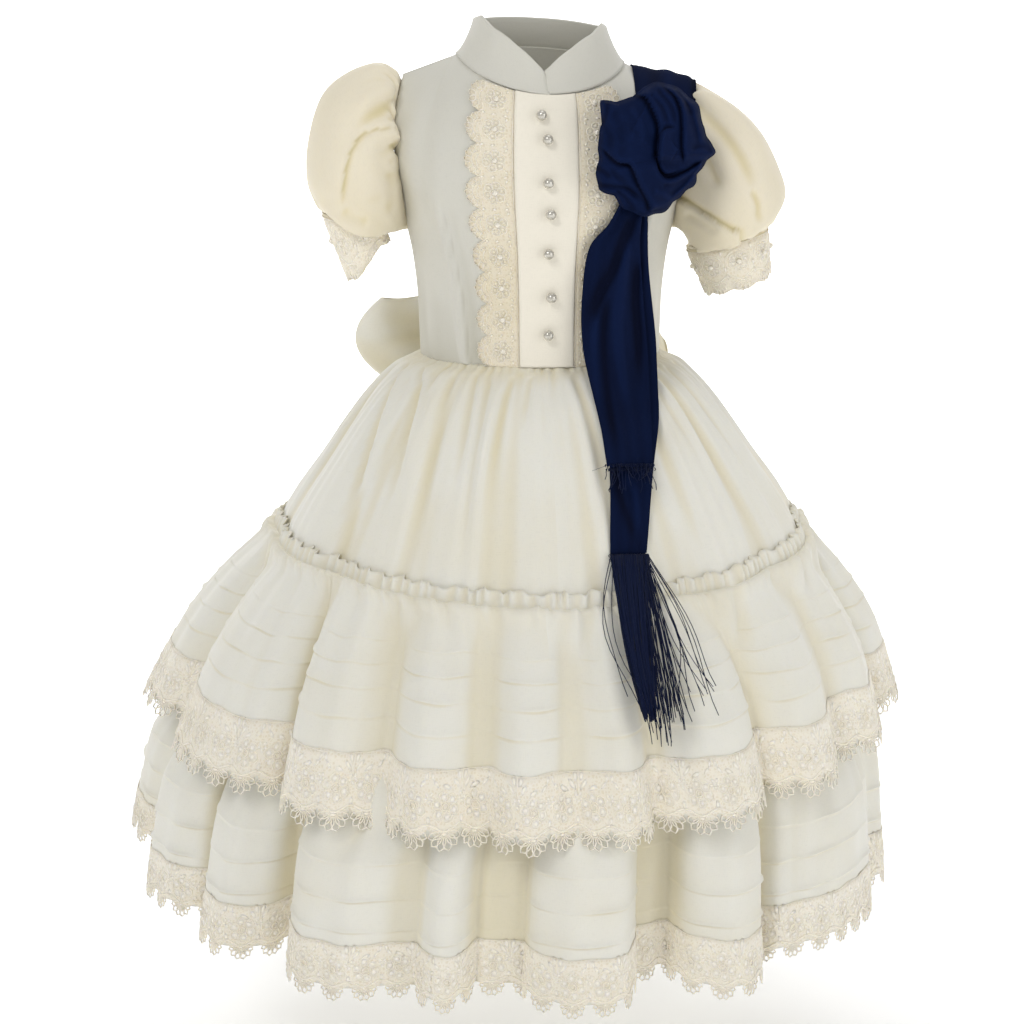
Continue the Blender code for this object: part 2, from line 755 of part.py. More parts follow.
def bodice_point(u, v, back=False):
    """A point of one half of the bodice: u from the centre to the side, v from waist to top."""
    _, zc, yc, zs, xs, ys = table_at(BACK_SECTIONS if back else FRONT_SECTIONS, v)
    angle = u * math.pi / 2
    section = np.array([xs * math.sin(angle), ys + (yc - ys) * math.cos(angle), 0.0])
    section[2] = lerp(zs, zc, math.cos(angle) ** 1.3)
    if v < 0.2:
        waist = WAIST_Z + 0.4 + WAIST_TILT * section[1]
        section[2] = lerp(waist, section[2], v / 0.2)
    if u < NECK_SHARE:
        top = neckline(u / NECK_SHARE, back)
    else:
        side = (u - NECK_SHARE) / (1 - NECK_SHARE)
        top = lerp(neckline(1.0, back), np.array([xs, ys, zs]), side)
    pull = max(0.0, (v - 0.62) / 0.38) ** 1.6
    return lerp(section, top, pull)


def leaned(point):
    """A point of the bodice with the lean of the shoulders."""
    share = smooth((point[2] - LEAN_START) / (LEAN_END - LEAN_START))
    return np.array([point[0], point[1], point[2] - LEAN * share * point[0]])


def mirrored(point, sign):
    return leaned((sign * point[0], point[1], point[2]))


def build_bodice():
    for name, sign in (("bodice_front_right", -1), ("bodice_front_left", 1)):
        grid = []
        for v in BODICE_LEVELS[::-1]:
            row = []
            for u in FRONT_COLUMNS:
                point = mirrored(bodice_point(u, v), sign)
                row.append(point)
            grid.append(row)

        def front_side(inner, sign=sign):
            inner[..., 0] = sign * np.maximum(sign * inner[..., 0], CENTRE_GAP)
            inner[..., 1] = np.minimum(inner[..., 1], -CENTRE_GAP)
            return inner

        grid = front_side(np.array(grid))
        wall(name, grid, False, BODICE_CLOTH, limit=front_side)
    grid = []
    for v in BODICE_LEVELS[::-1]:
        row = []
        for u in BACK_COLUMNS[:0:-1]:
            row.append(mirrored(bodice_point(u, v, True), -1))
        for u in BACK_COLUMNS:
            row.append(mirrored(bodice_point(u, v, True), 1))
        grid.append(row)

    def back_side(inner):
        inner[..., 1] = np.maximum(inner[..., 1], CENTRE_GAP)
        return inner

    wall("bodice_back", back_side(np.array(grid)), False, BODICE_CLOTH, limit=back_side)


def front_grid(columns, levels, sign):
    """Points on the flat facets of a front panel."""
    rows = []
    for v in levels:
        high = max(i for i, level in enumerate(BODICE_LEVELS[:-1]) if level <= v + 1e-9)
        t = (v - BODICE_LEVELS[high]) / (BODICE_LEVELS[high + 1] - BODICE_LEVELS[high])
        row = []
        for u in columns:
            low = bodice_point(u, BODICE_LEVELS[high])
            top = bodice_point(u, BODICE_LEVELS[high + 1])
            row.append(mirrored(lerp(low, top, t), sign))
        rows.append(row)
    return np.array(rows)


def lay_gaps(levels):
    """Gap under a trim at each level: wider where the panel turns over the collar bone."""
    return np.array([LAY_GAP + NECK_LIFT * smooth((v - 0.66) / 0.2) for v in levels])[:, None, None]


def build_placket_and_trims():
    levels = (TRIM_TOP,) + BODICE_LEVELS[-2::-1]
    right = front_grid((FRONT_COLUMNS[1], 0.0), levels, -1)
    left = front_grid((FRONT_COLUMNS[1],), levels, 1)
    grid = np.concatenate([right, left], axis=1)
    grid[:, 0, 0] += 0.4
    grid[:, 2, 0] -= 0.4
    inner, outer = lay_on(grid, False, (0, 0, -150), lay_gaps(levels), WALL)
    shell("placket", outer, inner, list(range(len(levels))), False, SLEEVE_CLOTH)
    levels = [TRIM_TOP * (1 - k / (TRIM_LEVELS - 1)) for k in range(TRIM_LEVELS)]
    for name, sign in (("lace_trim_right", -1), ("lace_trim_left", 1)):
        grid = front_grid((FRONT_COLUMNS[1], FRONT_COLUMNS[2], FRONT_COLUMNS[3]), levels, sign)
        grid[:, 0, 0] += 0.4 * sign
        for k in range(TRIM_LEVELS):
            if k % 2:
                grid[k, 2] = lerp(grid[k, 1], grid[k, 2], 0.72)
        inner, outer = lay_on(grid, False, (0, 0, -150), lay_gaps(levels), LACE_WALL)
        shell(name, outer, inner, list(range(TRIM_LEVELS)), False, LACE)


def build_collar():
    """Stand collar with two raised points, its ends crossing at the front."""
    start, end = COLLAR_ENDS
    grid = []
    for level in (1.0, 0.5, 0.0):
        row = []
        for k in range(COLLAR_COLUMNS + 1):
            degrees = lerp(start, end, k / COLLAR_COLUMNS)
            angle = math.radians(degrees)
            s, c = math.sin(angle), math.cos(angle)
            folded = abs((degrees + 180) % 360 - 180)
            back = folded > 90
            seam = neckline((180 - folded if back else folded) / 90, back)
            _, lean, height = table_at(COLLAR_PROFILE, folded)
            crossing = COLLAR_CROSSING * smooth(1 - k / COLLAR_CROSSING_COLUMNS)
            flare = COLLAR_FLARE * (1 - level) ** 2
            out = flare - lean * level + crossing
            point = leaned((math.copysign(seam[0], s), seam[1], seam[2] + COLLAR_LIFT))
            point += np.array([s * out, -c * out, height * level])
            row.append(point)
        grid.append(row)
    wall("collar", grid, False, BODICE_CLOTH, reference=(0, 0, -10), kept=[0, 2])


def tube_row(ring, sign, columns):
    """One ring of a sleeve, from its top point round the front to its low point and back."""
    top_x, top_z, low_x, low_z, depth, fall, ripple = ring
    centre = np.array([(top_x + low_x) / 2, 0.0, (top_z + low_z) / 2])
    up = np.array([(top_x - low_x) / 2, 0.0, (top_z - low_z) / 2])
    row = []
    for k in range(columns):
        angle = 2 * math.pi * k / columns
        s, c = math.sin(angle), math.cos(angle)
        full = 1 / (abs(s) ** PUFF_SQUARE + abs(c) ** PUFF_SQUARE) ** (1 / PUFF_SQUARE)
        wave = ripple * (1 if k % 2 else -1) * (0.6 + 0.4 * math.sin(k * 1.3))
        grow = full * (1 + wave / max(depth, 1.0))
        point = centre + up * c * grow + np.array([0.0, -depth * s * grow, -fall * s * s])
        row.append(point * (sign, 1, 1))
    return row


def armhole_row(sign, columns):
    """The armhole edge of the bodice, a little outside it."""
    edge = []
    levels = [v for v in BODICE_LEVELS[::-1] if v >= ARMPIT_LEVEL]
    for v in levels:
        edge.append(bodice_point(1.0, v))
    for v in levels[::-1]:
        edge.append(bodice_point(1.0, v, True))
    edge = np.array(edge)
    steps = np.linalg.norm(np.diff(edge, axis=0), axis=1)
    length = np.concatenate([[0], np.cumsum(steps)])
    row = []
    for k in range(columns):
        at = length[-1] * k / columns
        point = np.array([np.interp(at, length, edge[:, axis]) for axis in range(3)])
        row.append(mirrored(point + (ARMHOLE_GAP, 0, 0), sign))
    return row


def build_sleeves():
    for name, sign, rings in (
        ("sleeve_right", -1, SLEEVE_RIGHT_RINGS),
        ("sleeve_left", 1, SLEEVE_LEFT_RINGS),
    ):
        grid = [armhole_row(sign, SLEEVE_COLUMNS)]
        for ring in rings:
            grid.append(tube_row(ring, sign, SLEEVE_COLUMNS))
        wall(name, grid, True, SLEEVE_CLOTH, reference=(sign * 158, 0, -95))
    for name, sign, rings in (
        ("cuff_right", -1, CUFF_RIGHT_RINGS),
        ("cuff_left", 1, CUFF_LEFT_RINGS),
    ):
        grid = np.array([tube_row((*ring, 0, 0), sign, CUFF_COLUMNS) for ring in rings])
        middle = grid.reshape(-1, 3).mean(axis=0)
        wall(name, grid, True, SLEEVE_CLOTH, reference=middle)
        inner, outer = lay_on(grid, True, middle, LAY_GAP, LACE_WALL)
        down = grid[1] - grid[0]
        down /= np.linalg.norm(down, axis=1, keepdims=True)
        reach = np.array([CUFF_SCALLOP[k % 2] for k in range(CUFF_COLUMNS)])[:, None]
        for layer in (inner, outer):
            layer[0] = layer[0] + LACE_START * down
            layer[1] = layer[1] + reach * down
        shell(name.replace("cuff", "cuff_lace"), outer, inner, [0, 1], True, LACE)


def placket_front(x, z):
    """The outer face of the placket beside a height, and the direction it faces."""
    heights = [bodice_point(0.0, v)[2] for v in BODICE_LEVELS]
    depths = [bodice_point(0.0, v)[1] for v in BODICE_LEVELS]
    y = np.interp(z, heights, depths)
    gap = lay_gaps([np.interp(z, heights, BODICE_LEVELS)])[0, 0, 0]
    return np.array([x, y - gap - WALL, z])


def build_buttons():
    for number, (x, z) in enumerate(BUTTONS, 1):
        centre = placket_front(x, z) + (0, -(BUTTON_RADIUS + BUTTON_GAP), 0)
        rows, columns = 4, 7
        points = [centre + (0, BUTTON_RADIUS, 0)]
        for r in range(1, rows):
            tip = math.pi * r / rows
            for k in range(columns):
                turn = 2 * math.pi * k / columns
                side = BUTTON_RADIUS * math.sin(tip)
                points.append(
                    centre
                    + (side * math.cos(turn), BUTTON_RADIUS * math.cos(tip), side * math.sin(turn))
                )
        points.append(centre + (0, -BUTTON_RADIUS, 0))
        faces = []
        for k in range(columns):
            after = (k + 1) % columns
            faces.append((0, 1 + after, 1 + k))
            for r in range(rows - 2):
                a, b = 1 + r * columns + k, 1 + r * columns + after
                faces.append((a, b, b + columns))
                faces.append((a, b + columns, a + columns))
            last = 1 + (rows - 2) * columns
            faces.append((last + k, last + after, len(points) - 1))
        add_solid(f"button_{number}", points, faces, PEARL_BUTTON)


def build_bow():
    cx, cy, cz = BOW_CENTRE
    for name, sign, reach, droop in LOOPS:
        grid = []
        for out, bulge, half in LOOP_PATH:
            row = []
            for k in range(LOOP_ROWS):
                across = lerp(-1, 1, k / (LOOP_ROWS - 1))
                ripple = 2.0 * math.sin(k * 2.1 + out * 5) * (1 - out)
                round_off = LOOP_ROUND * (across * out) ** 2
                x = cx + sign * (LOOP_START + out * reach - round_off)
                z = cz + across * half + droop * out ** 1.3
                rest = max(back_of_skirt(x, z) + LOOP_CLEARANCE, LOOP_FRONT)
                y = max(rest, lerp(cy, LOOP_FRONT + 14, out ** 1.4)) + bulge + ripple
                row.append((x, y, z))
            grid.append(row)
        middle = np.mean(np.asarray(grid, float).reshape(-1, 3), axis=0)
        wall(name, grid, False, IVORY, thickness=RIBBON_WALL, reference=middle)
    for name, rows in (("bow_tail_right", TAIL_RIGHT), ("bow_tail_left", TAIL_LEFT)):
        grid = []
        for z, x, half, away in rows:
            row = []
            for k in range(TAIL_COLUMNS):
                at_x = x + lerp(-1, 1, k / (TAIL_COLUMNS - 1)) * half
                ripple = 1.5 * math.sin(k * 2.2 + z * 0.03)
                row.append((at_x, back_of_skirt(at_x, z) + TAIL_CLEARANCE + away + ripple, z))
            grid.append(row)
        wall(name, grid, False, IVORY, thickness=RIBBON_WALL, reference=(0, 0, -340))
    knot = []
    for level, wide in ((1.0, 0.8), (0.5, 1.0), (-0.5, 1.0), (-1.0, 0.8)):
        row = []
        for k in range(8):
            turn = 2 * math.pi * (k + 0.5) / 8
            x = cx + KNOT_SIZE[0] * wide * math.cos(turn)
            y = cy + KNOT_SIZE[1] * wide * math.sin(turn)
            row.append((x, y, cz + KNOT_SIZE[2] * level))
        knot.append(row)
    wall("bow_knot", knot, True, IVORY, reference=(cx, cy, cz))


def back_of_skirt(x, z):
    """How far back the skirt reaches at a point."""
    levels = np.linspace(0, 4.4, 45)
    best = None
    for level in levels:
        rings = curve_at(SKIRT_RINGS, level)
        gap = abs(rings[3] - z)
        if best is None or gap < best[0]:
            best = (gap, rings)
    width, back = best[1][4], best[1][6]
    return back * math.sqrt(max(0.05, 1 - (x / (width + 1)) ** 2))


def fall_grid(rows, bend):
    grid = []
    for n, (z, left, right, y_left, y_right, fold) in enumerate(rows):
        row = []
        for k in range(FALL_COLUMNS):
            t = k / (FALL_COLUMNS - 1)
            wave = fold * math.sin(math.pi * (1.9 * t + bend + 0.11 * n))
            row.append((lerp(left, right, t), lerp(y_left, y_right, t) + wave * 0.5, z))
        grid.append(row)
    return grid


def build_fringe(name, rows, strands, spread):
    """A backing strip with strands of yarn hanging from it as one body."""
    table = np.asarray(rows, float)
    top_z, left, right, y = table[0]
    thick = STRIP_THICK
    count = 2 * strands
    edges = [lerp(left, right, k / count) for k in range(count + 1)]
    points, faces = [], []

    def add(x, y_at, z):
        points.append((x, y_at, z))
        return len(points) - 1

    head_z, strip_z = top_z - STRIP_GAP, top_z - STRIP_GAP - STRIP_HEIGHT
    rings = []
    for x in edges:
        rings.append(
            (
                add(x, y - thick, head_z),
                add(x, y, head_z),
                add(x, y - thick - 1.2, strip_z),
                add(x, y - 1.2, strip_z),
            )
        )
    for a, b in zip(rings, rings[1:]):
        faces += [(a[0], b[0], b[1]), (a[0], b[1], a[1])]
        faces += [(a[0], a[2], b[2]), (a[0], b[2], b[0])]
        faces += [(a[1], b[1], b[3]), (a[1], b[3], a[3])]
    for ends, flip in ((rings[0], False), (rings[-1], True)):
        side = [(ends[0], ends[1], ends[3]), (ends[0], ends[3], ends[2])]
        faces += [f[::-1] for f in side] if flip else side
    for k in range(count):
        a, b = rings[k], rings[k + 1]
        if k % 2:
            faces += [(a[2], a[3], b[3]), (a[2], b[3], b[2])]
            continue
        number = k // 2
        corners = [a[2], a[3], b[3], b[2]]
        share = (number + 0.5) / strands
        for n in range(1, len(table)):
            z, x_left, x_right, y_at = table[n]
            last = n == len(table) - 1
            sway = spread * math.sin(number * 2.3 + n) * n
            x = lerp(x_left, x_right, share) + 0.25 * sway
            z_at = z + (STRAND_UNEVEN * math.sin(number * 1.9) if last else 0.0)
            y_here = y_at + 1.1 * math.sin(number * 3.1 + n)
            half = STRAND_HALF
            after = [
                add(x - half, y_here - thick, z_at),
                add(x - half, y_here, z_at),
                add(x + half, y_here, z_at),
                add(x + half, y_here - thick, z_at),
            ]
            for i in range(4):
                j = (i + 1) % 4
                faces += [(corners[i], corners[j], after[j]), (corners[i], after[j], after[i])]
            corners = after
        faces += [(corners[0], corners[1], corners[2]), (corners[0], corners[2], corners[3])]
    add_solid(name, points, faces, FRINGE_YARN)


def build_sash():
    grid = []
    for n, (y_in, y_out, z_in, z_out, x_in, x_out) in enumerate(SHOULDER_PATH):
        row = []
        for k in range(SHOULDER_COLUMNS):
            t = k / (SHOULDER_COLUMNS - 1)
            ripple = SHOULDER_RIPPLE * math.sin(k * 2.4 + n * 0.4) * min(1, 2 * t)
            row.append((lerp(x_in, x_out, t), lerp(y_in, y_out, t), lerp(z_in, z_out, t) + ripple))
        grid.append(row)
    wall("sash_shoulder", grid, False, SASH_CLOTH, thickness=FALL_WALL, reference=(105, 0, -90))
    wall("sash_fall_front", fall_grid(FALL_TOP, 0.2), False, SASH_CLOTH, thickness=FALL_WALL,
         reference=(60, 200, -230))
    wall("sash_fall_under", fall_grid(FALL_UNDER, 0.9), False, SASH_CLOTH, thickness=FALL_WALL,
         reference=(60, 200, -260))
    build_fringe("sash_fringe_short", FRINGE_SHORT, FRINGE_SHORT_STRANDS, 0.5)
    build_fringe("sash_fringe_long", FRINGE_LONG, FRINGE_LONG_STRANDS, 1.0)
    build_rosette()


def rosette_point(direction, share, lift=0.0):
    """A point of the rosette's dome, at a share of the way out to its outline."""
    cx, cy, cz = ROSETTE_CENTRE
    table = np.asarray(ROSETTE_OUTLINE, float)
    size = share * np.interp(wrap(direction, -164), table[:, 0], table[:, 1])
    turn = math.radians(direction)
    wave = math.sin(ROSETTE_WAVES * turn + 3.6 * share) * ROSETTE_WAVE_DEPTH
    wave *= 4 * share**1.5 * (1 - share) + 0.2 * share
    rise = ROSETTE_RISE * max(0.0, 1 - share**2) ** 0.6
    x = size * math.cos(turn)
    y = cy - rise - wave * 0.7 - lift + ROSETTE_TILT * x
    return np.array([cx + x, y, cz + size * math.sin(turn)])


def build_rosette():
    cx, cy, cz = ROSETTE_CENTRE
    grid = []
    for share, behind in ROSETTE_RINGS:
        row = []
        for k in range(ROSETTE_COLUMNS):
            row.append(rosette_point(360 * k / ROSETTE_COLUMNS, share) + (0, behind, 0))
        grid.append(row)
    wall("sash_rosette", grid, True, SASH_CLOTH, thickness=FALL_WALL, reference=(cx, cy + 10, cz))
    for number, (start, end, near, far, half, lift) in enumerate(ROSETTE_WRAPS, 1):
        grid = []
        for n in range(WRAP_STEPS + 1):
            t = n / WRAP_STEPS
            direction, share = lerp(start, end, t), lerp(near, far, t)
            wide = half * (0.35 + 0.65 * math.sin(math.pi * min(max(t, 0.06), 0.94)) ** 0.6)
            row = [
                rosette_point(direction, share + wide, lift - 1.0),
                rosette_point(direction, share + wide * 0.2, lift + WRAP_CROWN),
                rosette_point(direction, share - wide, lift),
            ]
            grid.append(row)
        wall(f"sash_rosette_wrap_{number}", grid, False, SASH_CLOTH, thickness=FALL_WALL,
             reference=(cx, cy + 60, cz))


def main():
    for body in list(bpy.data.objects):
        bpy.data.objects.remove(body)
    skirt = build_skirt()
    build_flounces(skirt)
    build_heading()
    build_bodice()
    build_placket_and_trims()
    build_collar()
    build_sleeves()
    build_buttons()
    build_bow()
    build_sash()


main()
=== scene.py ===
import math

import bpy
import numpy as np
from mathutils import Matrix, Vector


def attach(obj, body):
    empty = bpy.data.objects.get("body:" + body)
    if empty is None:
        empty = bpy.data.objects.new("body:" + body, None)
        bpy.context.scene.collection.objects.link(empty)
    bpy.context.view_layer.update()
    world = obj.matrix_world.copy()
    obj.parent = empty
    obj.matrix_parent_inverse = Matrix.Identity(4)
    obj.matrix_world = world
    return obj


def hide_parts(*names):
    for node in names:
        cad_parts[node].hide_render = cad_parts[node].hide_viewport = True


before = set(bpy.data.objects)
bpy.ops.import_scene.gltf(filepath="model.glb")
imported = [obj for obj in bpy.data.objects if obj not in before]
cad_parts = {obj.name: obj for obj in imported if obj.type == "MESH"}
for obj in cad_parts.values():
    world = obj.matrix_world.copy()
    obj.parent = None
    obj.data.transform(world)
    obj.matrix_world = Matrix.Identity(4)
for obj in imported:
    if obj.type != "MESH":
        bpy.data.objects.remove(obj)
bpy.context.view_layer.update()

# Escaramuza dress. Sizes below are in millimetres, in the frame of the CAD part:
# +Z up, the front faces -Y, the wearer's left is +X.
MM = 0.001
# Thickness of the cloth, and how far what lies on a panel stands off it.
CLOTH = 0.9
LAY_GAP = 0.7
# How far the sleeves and the collar stand off the edge of the bodice.
SEAM_STEP = 0.7
# How far the borders of the flounces hang over the cloth.
LACE_OVERHANG = 11.2
# Folds of the skirt: half width in degrees, and swell of the cloth between them.
FOLD_SPREAD = 7.5
FOLD_SWELL = 3.0
# Folds of the flounces: rise of the hem over a valley, roundness of deep and of shallow lobes,
# and how far a lobe leans over its valleys.
VALLEY_LIFT = 0.16
LOBE_ROUNDNESS = 0.70
SHALLOW_ROUNDNESS = 1.3
LOBE_OVERHANG = 0.075
# Seams of the waist and the neck.
WAIST_Z = -262.0
WAIST_TILT = 0.035
NECK_HALF_WIDTH = 71.0
NECK_FRONT = (-64.0, -35.0)
NECK_BACK = (50.0, 3.0)
NECK_SIDE_Z = -5.5
# The left shoulder sits lower by this share of the width, between these heights.
LEAN = 0.05
LEAN_START = -170.0
LEAN_END = -40.0
# Least distance of the flounces from the skirt, and of the lower flounce from the upper one.
SKIRT_CLEARANCE = 5.0
NEST_CLEARANCE = 4.5
# Turns in radians to either side of a point at which its neighbour is looked at too.
LOOK_ASIDE = (-0.05, -0.03, -0.015, 0.0, 0.015, 0.03, 0.05)
# A point inside the dress: the outer side of a panel faces away from it.
DRESS_MIDDLE = (0, 0, -150)

# Rings of the skirt and the flounces, one row a level.
# columns: z front, z left, z right, z back, half width, front depth, back depth, shift x,
# amount of fold
SKIRT_RINGS = [
    (-265.4, -262.4, -262.4, -259.4, 105.5, 85, 81, 0, 0.00),
    (-277, -272, -272, -271, 125, 103, 100, 0, 0.15),
    (-302, -298, -298, -300, 152, 132, 132, 0, 0.45),
    (-350, -345, -345, -348, 187, 167, 170, 0, 0.80),
    (-443, -417, -419, -424, 234, 217, 220, 0, 1.00),
    (-549, -545, -547, -546, 272, 257, 262, -8, 0.60),
]
UPPER_RINGS = [
    (-444, -418, -420, -425, 237, 220, 223, 0, 0.05),
    (-452, -425, -428, -433, 249, 231, 234, -1, 0.30),
    (-484, -453, -456, -464, 276, 258, 261, -5, 0.70),
    (-532, -497, -500, -508, 300, 282, 289, -9, 0.93),
    (-610, -563, -565, -576, 324, 306, 316, -16, 1.00),
]
LOWER_RINGS = [
    (-550, -546, -548, -547, 272, 257, 262, -8, 0.00),
    (-592, -580, -582, -585, 300, 284, 291, -14, 0.50),
    (-640, -622, -628, -632, 322, 304, 310, -20, 0.86),
    (-690, -676, -688, -690, 328, 310, 317, -23, 0.97),
    (-741, -727, -749, -744, 332, 314, 322, -25, 1.00),
]
# Broad folds of the skirt. columns: direction in degrees from the front, depth of the trough
SKIRT_FOLDS = [
    (-150, 7), (-118, 8), (-84, 7), (-51, 9), (-33, 6), (-13, 8),
    (8, 5), (27, 8), (52, 7), (85, 8), (118, 7), (151, 8),
]
# Folds of the flounces. columns: direction of the valley at the hem, half width of its floor,
# depth of the valley, height of the next lobe, lean of the fold, rise of the hem on the lobe
UPPER_FOLDS = [
    (-104, 0, 18, 13, 0, 8),
    (-73, 0, 26, 14, -5, 0),
    (-42.5, 0, 26, 14, -10, 0),
    (-24.5, 0.8, 13, 11, -9, 0),
    (-9.5, 1.2, 8, 9, -6, 0),
    (3.5, 1.2, 4, 9, -2, 0),
    (17.5, 0.8, 14, 12, -5, 0),
    (37, 0.6, 18, 12, -4, 0),
    (54, 0, 7, 12, 4, 0),
    (71, 0, 24, 12, 8, 8),
    (89, 0, 20, 12, 3, 6),
    (106, 0, 26, 13, 0, 0),
    (128, 0, 24, 14, -3, 0),
    (148, 0, 28, 12, 0, 0),
    (169, 0, 22, 13, 2, 0),
    (191, 0, 28, 13, 0, 0),
    (212, 0, 24, 14, -3, 0),
    (234, 0, 27, 13, 0, 0),
]
LOWER_FOLDS = [
    (-122, 1.5, 44, 22, 0, 36),
    (-84, 0.4, 36, 4, 0, 8),
    (-61, 0.4, 34, 2, 0, 0),
    (-41.5, 1.4, 44, 14, 0, 0),
    (-17.5, 0, 12, 10, 0, 0),
    (-5.5, 3.8, 25, 12, 0, 0),
    (19.3, 3.2, 40, 12, 0, 0),
    (37.5, 0.5, 34, 10, 0, 16),
    (76, 1.0, 34, 12, 0, 6),
    (104, 1.5, 42, 14, 0, 0),
    (131, 2.0, 46, 12, 0, 0),
    (157, 1.0, 38, 14, 0, 0),
    (184, 2.5, 48, 12, 0, 0),
    (211, 1.2, 40, 14, 0, 0),
]
UPPER_TUCKS = (1.9, 2.3, 2.68, 3.04)
LOWER_TUCKS = (2.02, 2.58, 3.10)
UPPER_LACE_TOP = 3.34
LOWER_LACE_TOP = 3.24

# Bodice sections. columns: share of the height, z and y at the centre, z, x and y at the side
FRONT_SECTIONS = [
    (0.00, -264.6, -85.0, -261.7, 105.5, 0),
    (0.20, -216, -84.0, -213, 107.5, 0),
    (0.36, -178, -85.5, -176, 111.5, 0),
    (0.47, -152, -86.0, -151, 116.5, -1),
    (0.58, -125, -84.5, -122, 123.0, -13),
    (0.72, -92, -80.5, -88, 127.0, -22),
    (0.86, -62, -73.5, -56, 125.5, -19),
    (1.00, -35, -64.0, -25, 118.5, -0.3),
]
BACK_SECTIONS = [
    (0.00, -258.8, 81.0, -261.7, 105.5, 0),
    (0.20, -211, 80.0, -213, 107.5, 0),
    (0.36, -170, 82.0, -176, 111.5, 0),
    (0.47, -142, 84.0, -151, 116.5, 1),
    (0.58, -112, 84.0, -122, 123.0, 14),
    (0.72, -76, 79.0, -88, 127.0, 23),
    (0.86, -38, 68.0, -56, 125.5, 20),
    (1.00, 3, 50.0, -25, 118.5, 0.3),
]
NECK_SHARE = 0.62
ARMPIT_LEVEL = 0.47
TRIM_TOP = 0.955
PLACKET_EDGE = 0.14
TRIM_EDGE = 0.37
NECK_LIFT = 2.0

# Sleeve rings. columns: x and z of the top point, x and z of the low point, half depth,
# fall of the middle
SLEEVE_RIGHT_RINGS = [
    (138, -11, 122.5, -152.5, 36, 0),
    (165, -17, 124.8, -154, 53, 3),
    (189, -38, 127, -154.5, 60, 8),
    (201, -80, 129.4, -153.6, 62, 14),
    (200, -114, 132.6, -150.6, 58, 18),
    (190.5, -137, 137, -146.2, 45, 0),
]
SLEEVE_LEFT_RINGS = [
    (138, -32, 124.0, -153, 37, 0),
    (167, -45, 127.0, -157, 53, 2),
    (192, -68, 129.5, -161, 61, 5),
    (209, -99, 131.5, -164.5, 63, 8),
    (215, -124, 132.5, -168, 59, 10),
    (200, -151, 130.5, -171, 46, 0),
]
CUFF_RIGHT_RINGS = [(190.0, -139.2, 137.6, -148.8, 44.2, 0), (168, -196, 129.5, -172, 41, 0)]
CUFF_LEFT_RINGS = [(200.3, -152.6, 130.9, -172.6, 45.6, 0), (203, -190, 150.5, -215, 42, 0)]
PUFF_SQUARE = 2.3

# Stand collar: how far one end stands over the other, and where the ends lie in degrees.
COLLAR_CROSSING = 2.4
COLLAR_ENDS = (-4.0, 363.0)

# Buttons down the placket. columns: x, z
BUTTONS = [(-4, -52), (1, -72), (1, -108), (3, -134), (1, -167), (3.5, -204), (1, -236)]
BUTTON_RADIUS = 4.6

# Hanging layers of the sash. columns: z, x left, x right, y left, y right, bow of the folds
FALL_TOP = [
    (-118, 66, 84, -80.9, -78, 0.6),
    (-142, 52, 80, -88.5, -86, 1.5),
    (-163, 35, 79, -94, -88, 4),
    (-205, 29, 82, -98, -88, 5),
    (-240, 29, 85, -101, -91, 5),
    (-262, 32, 86, -107, -97, 4),
    (-286, 37, 86, -122, -110, 3),
    (-308, 41, 85, -143, -132, 3),
    (-336, 44, 83, -165, -157, 2),
]
FALL_UNDER = [
    (-116, 70, 86, -78, -75, 0.5),
    (-140, 58, 86, -83.5, -80, 1),
    (-180, 44, 87, -88.5, -81, 1.5),
    (-236, 38, 93, -91, -83, 1.5),
    (-262, 40, 94, -98, -88, 1.5),
    (-286, 43, 94, -113, -99, 1.5),
    (-308, 46, 92, -134.5, -121, 1.5),
    (-345, 47, 84, -162.5, -151, 1.5),
    (-405, 44, 75, -195.5, -189, 1.5),
]
# Fringes: z, x left and x right of the band, and the line that the strands follow.
# columns: z, y
LONG_BAND = (-405, 44, 75)
LONG_DROP = [(-405, -195.2), (-446, -237), (-514, -289)]
SHORT_BAND = (-336, 44, 83)
SHORT_DROP = [(-336, -161.5), (-350, -174)]

# Outline of the rosette. columns: direction in degrees, radius
ROSETTE_OUTLINE = [
    (-164, 51), (-148, 56), (-135, 51), (-116, 52), (-96, 55), (-69, 45), (-27, 42), (0, 49),
    (29, 48), (61, 57), (76, 58), (100, 57), (112, 50), (129, 53), (137, 65), (143, 60), (152, 51),
    (172, 48), (196, 51),
]
ROSETTE_CENTRE = (90.0, -89.0, -83.0)
ROSETTE_TILT = 0.18
ROSETTE_RISE = 26.0

# Path of the sash over the shoulder. columns: y, z and x of the inner and the outer edge
SHOULDER_PATH = [
    (-113.4, -109.0, -84, -86, 82, 104),
    (-94, -89, -76, -80, 81, 110),
    (-76, -70, -62, -70, 80, 118),
    (-56, -50, -46, -57, 80, 126),
    (-36, -32, -33.5, -45, 80, 132),
    (-18, -16, -19.8, -29, 80, 135),
    (0, 0, -11.0, -22, 80, 136),
    (18, 16, -12.9, -29, 80, 134),
    (34, 30, -24.6, -43, 79, 131),
    (51.5, 46, -48.4, -65, 78, 127),
    (63, 57, -71, -87, 77, 122),
]
# Loops of the bow. columns: share of the length out, y, half width of the ribbon
LOOP_PATH = [
    (0.00, -3.0, 9), (0.25, -8.0, 20), (0.50, -12.0, 30), (0.78, -12.0, 35), (0.96, -7.0, 36),
    (1.00, 1.0, 36), (0.93, 9.0, 35), (0.72, 13.0, 33), (0.45, 12.0, 28), (0.22, 8.0, 19),
    (0.00, 3.0, 9),
]
BOW_CENTRE = (0.0, 104.0, -250.0)
LOOPS = [("bow_loop_right", -1, 152, -9), ("bow_loop_left", 1, 112, -26)]
LOOP_START = 12.0
LOOP_CLEARANCE = 16.2
LOOP_FRONT = 72.0
LOOP_ROUND = 24.0
KNOT_SIZE = (12.3, 12.0, 14.0)
